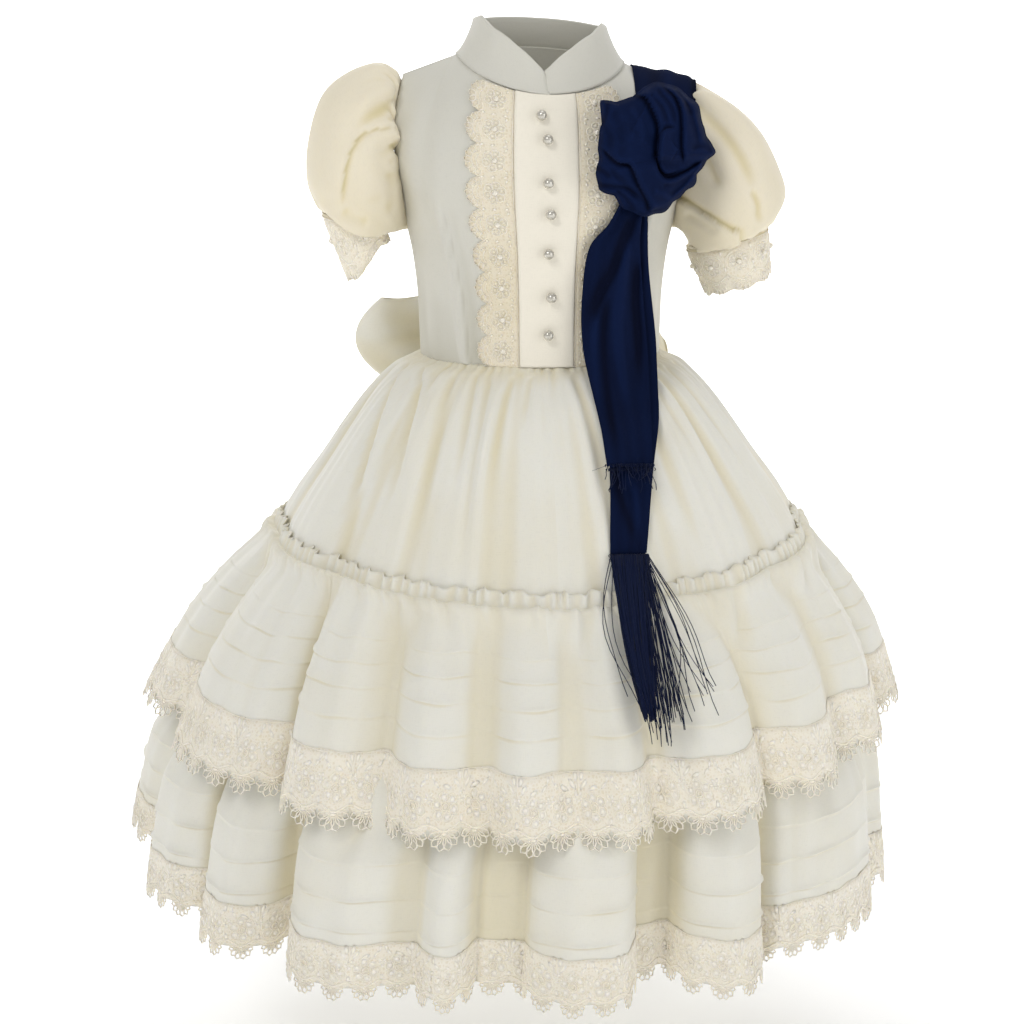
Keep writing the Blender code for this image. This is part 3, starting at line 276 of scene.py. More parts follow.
# Tails of the bow. columns: z, x of the middle, half width, distance from where it lies
TAIL_RIGHT = [(-264.6, -6, 5, 12), (-285, -15, 13, 3), (-325, -31, 25, 0), (-372, -45, 32, 0),
              (-405, -54, 36, 0)]
TAIL_LEFT = [(-264.6, 6, 5, 12), (-285, 16, 13, 3), (-320, 34, 24, 0), (-360, 49, 30, 0),
             (-392, 60, 34, 0)]
TAIL_CLEARANCE = 7.6


# Shapes.

def lerp(a, b, t):
    return a + (b - a) * t


def smooth(t):
    t = np.clip(t, 0.0, 1.0)
    return t * t * (3 - 2 * t)


def half_turn(degrees):
    """Directions brought between -180 and 180 degrees."""
    return (degrees + 180) % 360 - 180


def round_degrees(columns):
    """Directions of the columns of a closed grid, as one row."""
    return (np.arange(columns) * 360 / columns)[None, :]


def unit(vectors):
    return vectors / np.linalg.norm(vectors, axis=-1, keepdims=True)


def spans(*parts):
    """Levels in parts of start, end and count, each part ending where the next one starts."""
    return np.concatenate([np.linspace(*part)[:-1] for part in parts[:-1]] + [np.linspace(*parts[-1])])


def curve_at(rows, position):
    """Rows of a table at positions between rows, on a smooth curve through them."""
    table = np.asarray(rows, float)
    position = np.asarray(position, float)
    i = np.clip(np.floor(position).astype(int), 0, len(table) - 2)
    t = (position - i).reshape(position.shape + (1,) * (table.ndim - 1))
    slopes = np.gradient(table, axis=0)
    t2, t3 = t * t, t * t * t
    return (
        (2 * t3 - 3 * t2 + 1) * table[i]
        + (t3 - 2 * t2 + t) * slopes[i]
        + (3 * t2 - 2 * t3) * table[i + 1]
        + (t3 - t2) * slopes[i + 1]
    )


def key_at(rows, key):
    """Rows of a table whose first column is the key, on a smooth curve through them."""
    table = np.asarray(rows, float)
    place = np.interp(key, table[:, 0], np.arange(len(table)))
    return curve_at(table, place)


def ring_points(rows, position, degrees, outward, lift=0.0):
    found = np.moveaxis(curve_at(rows, position), -1, 0)
    zf, zl, zr, zb, width, front, back, shift = found[:8]
    angle = np.radians(degrees)
    s, c = np.sin(angle), np.cos(angle)
    level = (zf + zl + zr + zb) / 4 + (zf - zb) / 2 * c + (zr - zl) / 2 * s
    level = level + ((zf + zb) - (zl + zr)) / 4 * np.cos(2 * angle) + lift
    depth = np.where(c > 0, front, back)
    return np.stack([shift + (width + outward) * s, -(depth + outward) * c, level], axis=-1)


def skirt_points(degrees, position, extra=0.0):
    amount = curve_at(SKIRT_RINGS, position)[..., 8]
    inward = 0.0
    for centre, depth in SKIRT_FOLDS:
        away = np.abs(half_turn(degrees - centre))
        inward = inward + depth * np.exp(-((away / FOLD_SPREAD) ** 2))
    return ring_points(SKIRT_RINGS, position, degrees, (FOLD_SWELL - inward) * amount + extra)


def fold_of(folds, degrees):
    """How far in, out, aside and up a flounce stands at hem directions, and its place on a lobe."""
    first = folds[0][0]
    turned = (degrees - first) % 360 + first
    rows = np.array(list(folds) + [(first + 360, *folds[0][1:])], float)
    i = np.clip(np.searchsorted(rows[:, 0], turned, side="left") - 1, 0, len(rows) - 2)
    here, after = rows[i], rows[i + 1]
    start, end = here[..., 0] + here[..., 1], after[..., 0] - after[..., 1]
    share = np.clip((turned - start) / (end - start), 0.0, 1.0)
    nearest = np.where(share < 0.5, here[..., 2], after[..., 2])
    bump = np.sin(np.pi * share) ** np.interp(nearest, (8, 26), (SHALLOW_ROUNDNESS, LOBE_ROUNDNESS))
    inset = lerp(here[..., 2], after[..., 2], share) * (1 - bump)
    way = (turned - here[..., 0]) / (after[..., 0] - here[..., 0])
    lean = lerp(here[..., 4], after[..., 4], way)
    overhang = -LOBE_OVERHANG * (end - start) * np.sin(2 * np.pi * share) * np.clip((nearest - 10) / 14, 0, 1)
    return inset, here[..., 3] * bump, lean, here[..., 5] * bump, overhang, bump


def flounce_points(rings, folds, degrees, position):
    inset, outset, lean, rise, overhang, _ = fold_of(folds, degrees)
    amount = curve_at(rings, position)[..., 8]
    share = position / (len(rings) - 1)
    turned = degrees + lean * (1 - share) + overhang * amount
    move = (outset - inset) * amount
    lift = VALLEY_LIFT * inset * amount + rise * share ** 2
    return ring_points(rings, position, turned, move, lift)


def normals_of(grid, closed, reference):
    across = np.gradient(grid, axis=1)
    if closed:
        across = np.roll(grid, -1, axis=1) - np.roll(grid, 1, axis=1)
    along = np.gradient(grid, axis=0)
    normal = np.cross(across, along)
    normal /= np.maximum(np.linalg.norm(normal, axis=2, keepdims=True), 1e-9)
    if np.sum(normal * (grid - np.asarray(reference, float))) < 0:
        normal = -normal
    return normal


def softened(values, times):
    """Values round a closed row, each taken nearer to its neighbours."""
    for _ in range(times):
        values = (np.roll(values, 1, axis=1) + 2 * values + np.roll(values, -1, axis=1)) / 4
    return values


def reach_table(grid):
    turns = np.linspace(-np.pi, np.pi, 1441)
    radii, heights = [], []
    for row in grid:
        angles = np.arctan2(row[:, 0], -row[:, 1])
        order = np.argsort(angles)
        sizes = np.hypot(row[:, 0], row[:, 1])[order]
        radii.append(np.interp(turns, angles[order], sizes, period=2 * np.pi))
        heights.append(np.interp(turns, angles[order], row[order, 2], period=2 * np.pi))
    return np.array(radii), np.array(heights)


def reach_at(table, angle, z):
    radii, heights = table
    at = ((angle + np.pi) / (2 * np.pi) * 1440) % 1440
    i = np.floor(at).astype(int)
    f = at - i
    size = radii[:, i] * (1 - f) + radii[:, i + 1] * f
    level = heights[:, i] * (1 - f) + heights[:, i + 1] * f
    limit = size[0].copy()
    for k in range(len(size) - 1):
        t = np.clip((level[k] - z) / np.maximum(level[k] - level[k + 1], 1e-6), 0, 1)
        limit = np.where(z < level[k], lerp(size[k], size[k + 1], t), limit)
    return limit, level[-1]


def kept_apart(grid, other, clearance, outside):
    """A grid moved along its radius until it clears another one."""
    table = reach_table(other)
    angle = np.arctan2(grid[..., 0], -grid[..., 1])
    z = grid[..., 2]
    near = [reach_at(table, angle + turn, z) for turn in LOOK_ASIDE]
    sizes = np.array([found[0] for found in near])
    lowest = np.min([found[1] for found in near], axis=0)
    spare = 0.9 * np.maximum(0.0, lowest - z)
    radius = np.hypot(grid[..., 0], grid[..., 1])
    if outside:
        wanted = np.maximum(radius, sizes.max(axis=0) + clearance - spare)
    else:
        wanted = np.minimum(radius, sizes.min(axis=0) - clearance + spare)
    factor = softened(wanted / radius, 3)
    moved = grid.copy()
    moved[..., :2] *= factor[..., None]
    return moved


# Meshes.

def colour(text):
    """Linear values of an sRGB hex colour."""
    values = [int(text[i:i + 2], 16) / 255 for i in (1, 3, 5)]
    return tuple(v / 12.92 if v <= 0.04045 else ((v + 0.055) / 1.055) ** 2.4 for v in values)


def linked(name, data):
    """A new object of the scene that holds a mesh, a light or a camera."""
    made = bpy.data.objects.new(name, data)
    bpy.context.scene.collection.objects.link(made)
    return made


def add_mesh(name, points, faces, coords=None, fold=None):
    """A smooth mesh of faces, with its own cloth coordinates in metres and its painted shade at each point.
    """
    mesh = bpy.data.meshes.new(name)
    mesh.from_pydata((np.asarray(points) * MM).tolist(), [], faces)
    if coords is not None:
        layer = mesh.uv_layers.new(name="Cloth")
        layer.data.foreach_set("uv", (np.asarray(coords) * MM).ravel())
    if fold is not None:
        mark = mesh.attributes.new("fold", "FLOAT", "POINT")
        mark.data.foreach_set("value", np.asarray(fold, np.float32).ravel())
    mesh.polygons.foreach_set("use_smooth", [True] * len(mesh.polygons))
    mesh.update()
    return linked(name, mesh)


def shell_faces(rows, columns, closed):
    """Quads of a thin closed wall of two grids, and the row and column of each corner."""
    spans = columns if closed else columns - 1
    r, c = np.meshgrid(np.arange(rows - 1), np.arange(spans), indexing="ij")
    r, c = r.ravel(), c.ravel()
    row = np.stack([r, r, r + 1, r + 1], 1)
    col = np.stack([c, c + 1, c + 1, c], 1)
    side = np.zeros_like(row)
    out = [(row, col, side), (row[:, ::-1], col[:, ::-1], side + 1)]
    c = np.arange(spans)
    for edge, flip in ((0, False), (rows - 1, True)):
        row = np.full((spans, 4), edge)
        col = np.stack([c, c, c + 1, c + 1], 1)
        side = np.tile([1, 0, 0, 1], (spans, 1))
        found = (row, col, side)
        out.append(tuple(a[:, ::-1] for a in found) if not flip else found)
    if not closed:
        r = np.arange(rows - 1)
        for edge, flip in ((0, True), (columns - 1, False)):
            row = np.stack([r, r, r + 1, r + 1], 1)
            col = np.full((rows - 1, 4), edge)
            side = np.tile([1, 0, 0, 1], (rows - 1, 1))
            found = (row, col, side)
            out.append(tuple(a[:, ::-1] for a in found) if not flip else found)
    row, col, side = (np.concatenate([found[k] for found in out]) for k in range(3))
    return row, col, side


def wall_parts(outer, inner, closed):
    """Points, faces and coordinates of a thin wall between two grids of one size."""
    rows, columns = outer.shape[:2]
    row, col, side = shell_faces(rows, columns, closed)
    faces = side * rows * columns + row * columns + col % columns
    points = np.concatenate([outer.reshape(-1, 3), inner.reshape(-1, 3)])
    corners = points[faces]
    middle = points.mean(axis=0)
    volume = 0.0
    for a, b, c in ((0, 1, 2), (0, 2, 3)):
        volume += np.einsum(
            "ij,ij->i", corners[:, a] - middle, np.cross(corners[:, b] - middle, corners[:, c] - middle)
        ).sum()
    grid = np.concatenate([outer, outer[:, :1]], axis=1) if closed else outer
    across = np.linalg.norm(np.diff(grid, axis=1), axis=2).mean(axis=0)
    down = np.linalg.norm(np.diff(outer, axis=0), axis=2).mean(axis=1)
    u = np.concatenate([[0], np.cumsum(across)])
    v = np.concatenate([[0], np.cumsum(down)])
    coords = np.stack([u[col], v[row]], axis=-1)
    if volume < 0:
        faces, coords = faces[:, ::-1], coords[:, ::-1]
    return points, faces, coords


def cloth_piece(name, outer, closed, reference, material, thickness=CLOTH, fold=None):
    """A thin cloth wall whose outer side is the grid; its painted shade is one value or one a point."""
    outer = np.asarray(outer, float)
    inner = outer - thickness * normals_of(outer, closed, reference)
    points, faces, coords = wall_parts(outer, inner, closed)
    if fold is not None:
        fold = np.tile(np.broadcast_to(fold, outer.shape[:2]).ravel(), 2)
    piece = add_mesh(name, points, faces.tolist(), coords.reshape(-1, 2), fold)
    piece.data.materials.append(material)
    return piece


def belongs(piece, slot, *nodes):
    """Says which body a piece is part of and which nodes it stands for; the slot is not used."""
    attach(piece, "root")
    if nodes:
        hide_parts(*nodes)


# Materials.

def put(tree, kind, settings=None, **links):
    """Adds a node with its settings, and links its inputs to other nodes' sockets. An input is
    given by its name, or by its number after an underscore."""
    node = tree.nodes.new(kind)
    for name, value in (settings or {}).items():
        if isinstance(name, str) and hasattr(node, name) and name not in node.inputs:
            setattr(node, name, value)
        else:
            node.inputs[name].default_value = value
    for name, socket in links.items():
        number = name[1:]
        tree.links.new(socket, node.inputs[int(number) if number.isdigit() else name])
    return node


def new_material(name, settings):
    """A material with its node tree and its shader, whose own sockets have the settings."""
    made = bpy.data.materials.new(name)
    made.use_nodes = True
    shader = made.node_tree.nodes["Principled BSDF"]
    for socket, value in settings.items():
        shader.inputs[socket].default_value = value
    return made, made.node_tree, shader


def ramp(node, stops):
    """Sets the stops of a colour ramp: place and colour."""
    marks = node.color_ramp.elements
    while len(marks) < len(stops):
        marks.new(0.5)
    for mark, (place, value) in zip(marks, stops):
        mark.position = place
        mark.color = (*value, 1.0)
    return node


def cloth_material(name, ridge, valley, thread, bump, roughness, sheen, weight=0.0, tint=None, gloss=0.25):
    """Plain-weave cloth: fine threads both ways, a few thicker ones; painted shade deepens the colour from
    ridge to valley as the fold attribute rises.
    """
    made, tree, shader = new_material(name, {
        "Roughness": roughness, "Sheen Weight": sheen, "Sheen Roughness": 0.4,
        "Specular IOR Level": gloss, "Subsurface Weight": weight,
        "Subsurface Radius": (0.004, 0.0035, 0.002),
    })
    place = put(tree, "ShaderNodeUVMap", {"uv_map": "Cloth"})
    warp = put(tree, "ShaderNodeMapping", {"Scale": (1000 / thread, 1000 / thread / 7, 1)},
               Vector=place.outputs[0])
    weft = put(tree, "ShaderNodeMapping", {"Scale": (1000 / thread / 7, 1000 / thread, 1)},
               Vector=place.outputs[0])
    warp = put(tree, "ShaderNodeTexNoise", {"Scale": 1.0, "Detail": 2.0}, Vector=warp.outputs[0])
    weft = put(tree, "ShaderNodeTexNoise", {"Scale": 1.0, "Detail": 2.0}, Vector=weft.outputs[0])
    weave = put(tree, "ShaderNodeMath", {"operation": "ADD"}, _0=warp.outputs[0], _1=weft.outputs[0])
    soft = put(tree, "ShaderNodeTexNoise", {"Scale": 9.0, "Detail": 2.0}, Vector=place.outputs[0])
    # Painted shade: each mesh's fold attribute, with soft patches at random added, picks the colour from
    # ridge through tint to valley.
    fold = put(tree, "ShaderNodeAttribute", {"attribute_name": "fold"})
    patch = put(tree, "ShaderNodeMath", {"operation": "MULTIPLY_ADD", 1: 0.9, 2: -0.42},
                _0=soft.outputs[0])
    depth = put(tree, "ShaderNodeMath", {"operation": "ADD", "use_clamp": True},
                _0=fold.outputs["Fac"], _1=patch.outputs[0])
    tone = ramp(put(tree, "ShaderNodeValToRGB", None, Fac=depth.outputs[0]),
                [(0.0, ridge), (0.35, tint or ridge), (1.0, valley)])
    shade = ramp(put(tree, "ShaderNodeValToRGB", None, Fac=weave.outputs[0]),
                 [(0.6, (0.955, 0.955, 0.955)), (1.25, (1.0, 1.0, 1.0))])
    mixed = put(tree, "ShaderNodeMix", {"data_type": "RGBA", "blend_type": "MULTIPLY", 0: 1.0})
    tree.links.new(tone.outputs[0], mixed.inputs[6])
    tree.links.new(shade.outputs[0], mixed.inputs[7])
    tree.links.new(mixed.outputs[2], shader.inputs["Base Color"])
    raised = put(tree, "ShaderNodeBump", {"Strength": bump, "Distance": 0.0002},
                 Height=weave.outputs[0])
    tree.links.new(raised.outputs[0], shader.inputs["Normal"])
    return made


# Plain-weave cotton, washed and pressed: dull, a soft sheen at grazing angles, ivory; its painted shade
# turns straw yellow deep in the folds. Threads are 0.3 mm apart and are drawn 0.8 mm apart to show.
IVORY = cloth_material("Ivory plain-weave cotton", colour("#ECEADF"), colour("#E5DDC2"), 0.8, 0.3,
                       0.75, 0.2, 0.12, colour("#E8E3D1"))
# The same cotton over a stiffening, cooler and flatter.
BODICE = cloth_material("Backed plain-weave cotton", colour("#D6D4C9"), colour("#C6C3B4"), 0.8, 0.25,
                        0.65, 0.25, 0.05)
# Softer cream cotton of the puffs.
CREAM = cloth_material("Cream cotton batiste", colour("#ECE3CC"), colour("#D6C998"), 0.8, 0.3, 0.75,
                       0.2, 0.12, colour("#E6DBBC"))
# The strip under the buttons, of the same cloth as the puffs but pressed flat.
PRESSED = cloth_material("Pressed cream cotton", colour("#F2ECDC"), colour("#E6DEC8"), 0.8, 0.3, 0.7, 0.25)
# Guipure: mercerised cotton cord, chemically cut: bright cords over bars of a darker cream, with painted
# shade on the low parts of the cords and in the holes between the bars.
GUIPURE = cloth_material("Guipure cotton cord", colour("#FFF6E2"), colour("#E6DBBF"), 0.6, 0.3, 0.8,
                         0.15, 0.2, colour("#FFF9EC"))
# Crepe: crimped yarn, almost no gloss, a pebbled face.
CREPE = cloth_material("Navy polyester crepe", colour("#0C1A3C"), colour("#060C22"), 0.7, 0.25, 0.85,
                       0.0, 0.0, colour("#091533"), 0.07)
# Yarn of the fringe: smooth, a little glossier than the crepe.
YARN = cloth_material("Navy rayon yarn", colour("#0C1838"), colour("#050A1E"), 0.5, 0.3, 0.55, 0.05,
                      0.0, None, 0.12)


# Cells of the net between the cords are 2.6 mm across, so there are 385 to a metre.
NET_CELLS = 385.0


def net_material():
    """The fine mesh of brides between the cords: small uneven holes painted as darker cell middles, the
    painted shade of the cloth behind.
    """
    made = cloth_material("Guipure cotton bars", colour("#EEE6D3"), colour("#E2D7BD"), 0.6, 0.3, 0.85,
                          0.1, 0.2, colour("#F6F0E1"))
    tree = made.node_tree
    shader = tree.nodes["Principled BSDF"]
    place = put(tree, "ShaderNodeUVMap", {"uv_map": "Cloth"})
    cells = put(tree, "ShaderNodeTexVoronoi", {"feature": "DISTANCE_TO_EDGE", "Scale": NET_CELLS,
                                               "Randomness": 0.75}, Vector=place.outputs[0])
    # Painted shade: the cell middles darken towards the shaded cloth seen through the holes; the same pattern
    # raises the bars.
    bars = ramp(put(tree, "ShaderNodeValToRGB", None, Fac=cells.outputs[0]),
                [(0.10, (1.0, 1.0, 1.0)), (0.26, (0.92, 0.895, 0.84))])
    plain = shader.inputs["Base Color"].links[0].from_socket
    mixed = put(tree, "ShaderNodeMix", {"data_type": "RGBA", "blend_type": "MULTIPLY", 0: 1.0})
    tree.links.new(plain, mixed.inputs[6])
    tree.links.new(bars.outputs[0], mixed.inputs[7])
    tree.links.new(mixed.outputs[2], shader.inputs["Base Color"])
    raised = put(tree, "ShaderNodeBump", {"Strength": 0.4, "Distance": 0.0003}, Height=bars.outputs[0])
    tree.links.new(raised.outputs[0], shader.inputs["Normal"])
    return made


NET = net_material()


def pearl_material(name, metallic, dark, light):
    """Pearl coating on plastic: silvery, a clear gloss over a milky body."""
    made, tree, shader = new_material(name, {
        "Roughness": 0.22, "Metallic": metallic, "Coat Weight": 0.8, "Coat Roughness": 0.06,
    })
    place = put(tree, "ShaderNodeTexCoord")
    cloud = put(tree, "ShaderNodeTexNoise", {"Scale": 260.0, "Detail": 2.0},
                Vector=place.outputs["Object"])
    tone = ramp(put(tree, "ShaderNodeValToRGB", None, Fac=cloud.outputs[0]),
                [(0.35, colour(dark)), (0.65, colour(light))])
    tree.links.new(tone.outputs[0], shader.inputs["Base Color"])
    return made


PEARL = pearl_material("Pearl coated ABS", 0.45, "#BFBAAD", "#D3CFC4")
# The sewn ones are creamy and less metallic.
SEED_PEARL = pearl_material("Cream pearl coated ABS", 0.1, "#E6DFCE", "#F4EFE2")


# Skirt.

SKIRT_COLUMNS = 560
UPPER_COLUMNS = 810
LOWER_COLUMNS = 640


def gathers(degrees, position, count, width, size, length, spread, seed):
    """Small uneven gathers that start at a seam and die out, each at its own length."""
    draw = np.random.RandomState(seed)
    total = np.zeros(np.broadcast(degrees, position).shape)
    for k in range(count):
        centre = 360 * (k + draw.uniform(-0.28, 0.28)) / count
        reach = length * draw.uniform(0.45, 1.0) ** 1.5
        tall = size * draw.uniform(0.55, 1.15)
        drift = draw.uniform(-1, 1) * spread
        wide = 360 / count * width * draw.uniform(0.8, 1.25)
        fade = 1 - smooth(position / reach)
        away = half_turn(degrees - centre - drift * position)
        total = total + tall * fade * np.exp(-((away / (wide * (1 + 0.35 * position))) ** 2))
    return total


def creases(degrees, position, rows):
    """Creases and soft ridges set one by one; a trough has a roll on the side its lip names.
    columns: direction and level at the start, direction and level at the end, width, height, lip"""
    total = np.zeros(np.broadcast(degrees, position).shape)
    for start, low, end, high, wide, tall, lip in rows:
        t = (position - low) / (high - low)
        inside = smooth(np.clip(t * 5, 0, 1)) * smooth(np.clip((1 - t) * 2.5, 0, 1))
        centre = lerp(start, end, np.clip(t, 0, 1) ** 0.7)
        away = half_turn(degrees - centre)
        shape = np.exp(-((away / wide) ** 2))
        roll = np.exp(-(((away - lip * wide * 1.7) / (wide * 1.1)) ** 2))
        total = total + inside * (tall * shape + abs(lip) * 0.65 * abs(tall) * roll)
    return total


# Long folds of the skirt, from the waist gathers down.
# columns: direction and level at the start, direction and level at the end, width, height, lip
SKIRT_CREASES = [
    (-84, 0.4, -50, 4.3, 2.3, -6.5, 1), (-66, 0.4, -39, 3.9, 2.0, -4.2, 1),
    (-46, 0.3, -31, 4.2, 2.4, -4.0, -1), (-33, 0.3, -24.5, 3.4, 1.6, -3.4, 1),
    (-25, 0.4, -20.5, 4.4, 1.7, -4.2, 1), (-14, 0.4, -18, 3.9, 1.5, -4.4, -1),
    (-6, 0.3, -9, 2.4, 1.5, -2.4, 1), (2, 0.3, 0, 2.0, 1.4, -2.0, 0), (10, 0.4, 14.5, 4.4, 1.9, -4.0, -1),
    (20, 0.4, 25, 3.4, 1.7, -3.2, 1), (30, 0.3, 35, 4.3, 2.2, -4.4, -1), (42, 0.4, 44, 3.0, 1.9, -3.2, 1),
    (50, 0.3, 53, 4.2, 2.4, -4.6, -1), (62, 0.4, 62, 3.6, 2.1, -3.8, 1), (76, 0.3, 73, 4.3, 2.4, -4.4, -1),
    (90, 0.4, 87, 3.5, 2.2, -3.6, 1), (102, 0.3, 100, 4.2, 2.4, -4.6, 1), (116, 0.4, 113, 3.2, 2.0, -3.4, -1),
    (127, 0.3, 126, 4.3, 2.5, -4.8, 1), (141, 0.4, 140, 3.4, 2.1, -3.4, -1),
    (155, 0.3, 152, 4.2, 2.3, -4.2, 1), (168, 0.4, 168, 3.3, 2.0, -3.2, -1),
    (-176, 0.3, -177, 4.2, 2.4, -4.4, 1), (-161, 0.4, -162, 3.4, 2.2, -3.6, -1),
    (-147, 0.3, -149, 4.3, 2.5, -4.8, 1), (-133, 0.4, -133, 3.2, 2.0, -3.4, 1),
    (-120, 0.3, -117, 4.2, 2.3, -4.4, -1),
    (-106, 0.4, -100, 3.6, 2.2, -4.0, 1), (-95, 0.4, -82, 4.2, 2.3, -4.2, -1),
]


def depth_of_fold(grid, closed, wide, full):
    """0 on ridges to 1 deep in a fold: how far a point lies inside its surroundings."""
    radius = np.hypot(grid[..., 0], grid[..., 1])
    around = radius.copy()
    for _ in range(wide):
        around = (np.roll(around, 3, axis=1) + around + np.roll(around, -3, axis=1)) / 3
    return np.clip((around - radius) / full, 0, 1)


def build_skirt():
    degrees = round_degrees(SKIRT_COLUMNS)
    level = spans((0, 1.0, 14), (1.0, 2.6, 13), (2.6, 5.0, 13))[:, None]
    extra = gathers(degrees, level, 92, 0.36, 4.4, 1.9, 0.6, 3) * smooth(level / 0.18 + 0.4)
    extra = extra + gathers(degrees, level, 41, 0.36, 3.4, 4.2, 1.6, 7) * smooth(level / 0.5)
    extra = extra - 2.2 * (1 - smooth(level / 1.5))
    extra = extra + creases(degrees, level, SKIRT_CREASES) + soft_waves(degrees, level, 9, 0.5)
    grid = skirt_points(degrees, level, extra)
    seam = smooth(1 - level / 0.16)[..., None]
    grid = grid + seam * (0, 0, 2.2)
    # Painted shade: darker deep in the folds and towards the waist.
    fold = np.clip(depth_of_fold(grid, True, 10, 4.5) + 0.5 * smooth(1 - level / 1.3), 0, 1)
    piece = cloth_piece("skirt_cloth", grid, True, (0, 0, -300), IVORY, fold=fold)
    belongs(piece, "ivory_cloth", "skirt")
    return grid


HEAD_WAVES = 150


def head_phase(degrees):
    """Where the small gathers of the upper flounce and its heading stand."""
    turn = np.radians(degrees)
    return HEAD_WAVES * turn + 1.5 * np.sin(turn * 23) + np.sin(turn * 41) + 0.7 * np.sin(turn * 67)


def build_heading():
    """Narrow ruffle standing up over the seam of the upper flounce."""
    columns = 1200
    degrees = round_degrees(columns)[0]
    turn = np.radians(degrees)
    low, high = skirt_points(degrees, 4.0), skirt_points(degrees, 3.6)
    rise = unit(high - low)
    away = unit(low * (1, 1, 0))
    phase = head_phase(degrees)
    strength = 0.75 + 0.25 * np.sin(turn * 17) + 0.2 * np.sin(turn * 61 + 1)
    rows = []
    for t in (0.0, 0.1, 0.2, 0.32, 0.46, 0.62, 0.8, 1.0):
        curl = np.sin(phase + 0.9 * np.sin(turn * 37) * t)
        lift = -4.5 + 17.5 * t + 1.6 * t * np.sin(phase * 0.37) + 0.9 * t * np.cos(phase + 0.6)
        pinch = 1.0 - 0.85 * math.exp(-((t - 0.2) / 0.12) ** 2)
        out = 2.6 + 1.2 * t ** 1.3 + strength * (0.6 + 2.0 * t ** 0.8) * curl * pinch + 1.0 * (1 - t) * pinch
        rows.append(low + rise * lift[:, None] + away * out[:, None])
    grid = np.array(rows[::-1])
    # Painted shade: darker where the ruffle turns in between its frills.
    fold = np.clip(0.3 - 0.35 * np.sin(phase), 0, 1) * 0.6
    piece = cloth_piece("ruffled_heading", grid, True, (0, 0, -430), IVORY, 0.7, fold)
    belongs(piece, "ivory_cloth", "flounce_heading")


# Section of a tuck. columns: level from its edge, how far it stands out
TUCK_SECTION = [(-0.075, 0.0), (-0.030, 0.55), (-0.010, 0.95), (0.006, 1.0), (0.014, -0.15), (0.05, 0.0)]


def tucked_levels(plain, tucks, columns, seed, reach):
    """Levels of a flounce, with six rows a tuck, and how far each row stands out."""
    draw = np.random.RandomState(seed)
    turn = np.arange(columns) * 2 * np.pi / columns
    level, out = [], []
    for p in plain:
        level.append(np.full(columns, p))
        out.append(np.zeros(columns))
    for n, tuck in enumerate(tucks):
        a, b, c = draw.uniform(0, 6, 3)
        wander = reach * (
            0.5 * np.sin(turn * 7 + a) + 0.3 * np.sin(turn * 19 + b) + 0.2 * np.sin(turn * 47 + c)
        )
        body = 0.62 + 0.5 * np.sin(turn * 31 + c) * np.sin(turn * 12 + a) + 0.2 * np.sin(turn * 53 + b)
        body = np.clip(body, 0.12, 1.1) * (0.4 if n == 0 else 1.0)
        for step, rise in TUCK_SECTION:
            level.append(tuck + step + wander)
            out.append(rise * body)
    order = np.argsort([row.mean() for row in level])
    return np.array(level)[order], np.array(out)[order]


def soft_waves(degrees, position, seed, size):
    """Low uneven ridges that run down a flounce."""
    draw = np.random.RandomState(seed)
    total = 0.0
    for count in (31, 43, 58, 77):
        total = total + np.sin(
            np.radians(degrees) * count + draw.uniform(0, 6) + position * draw.uniform(-0.5, 0.5)
        ) * draw.uniform(0.5, 1.0)
    return total * size


def build_flounce(name, node, rings, folds, columns, plain, tucks, head, apart, seed, gather, lip, slim):
    degrees = round_degrees(columns)
    level, out = tucked_levels(plain, tucks, columns, seed, 0.03)
    grid = flounce_points(rings, folds, degrees, level)
    joined = smooth(1 - level / 0.9)[..., None]
    grid = lerp(grid, grid + (head(degrees) - grid[:1]), joined)
    # The cloth falls straight from the seam instead of standing out under it.
    drop = slim * np.exp(-(((level - 1.7) / 1.3) ** 2)) * smooth(level / 0.6)
    grid[..., :2] *= (1 - drop / np.hypot(grid[..., 0], grid[..., 1]))[..., None]
    grid = apart(grid, level)
    count, size, length = gather
    inset, _, _, _, _, bump = fold_of(folds, degrees)
    relief = gathers(degrees, level, count, 0.32, size, length, 0.6, seed)
    relief = relief + gathers(degrees, level, count // 2, 0.30, size * 1.2, length * 1.6, 0.8, seed + 1)
    relief = relief + gathers(degrees, level, count // 5, 0.30, size * 1.3, 7.0, 1.2, seed + 2) * (bump + 0.3)
    relief = relief * smooth((level - 0.02) / 0.5)
    under_seam = smooth(1 - level / 1.8)
    relief = relief + size * 0.35 * np.sin(head_phase(degrees)) * under_seam * smooth((level - 0.05) / 0.4)
    relief = relief + soft_waves(degrees, level, seed + 5, 0.9) * smooth(level / 1.2)
    relief = relief + lip * out * (0.25 + 0.75 * smooth(bump / 0.6))
    normal = normals_of(softened(grid, 2), True, DRESS_MIDDLE)
    grid = grid + relief[..., None] * normal
    # Painted shade: darker in the valleys between the lobes, in the hollows of the gathers and just under the
    # seam.
    fold = 0.4 * (1 - bump) * np.clip(inset / 30, 0, 1) * smooth(level / 1.6)
    fold = np.clip(fold + depth_of_fold(grid, True, 5, 4.0) * 0.42 + 0.25 * under_seam, 0, 1)
    # The cloth right under the lip of a tuck lies in its shadow.
    under_lip = np.maximum(out[:-1] - out[1:], 0) * smooth(bump / 0.5)
    fold[1:] = np.clip(fold[1:] + 0.55 * under_lip, 0, 1)
    piece = cloth_piece(name, grid, True, DRESS_MIDDLE, IVORY, fold=fold)
    belongs(piece, "ivory_cloth", node)
    return grid, level


# Guipure lace.

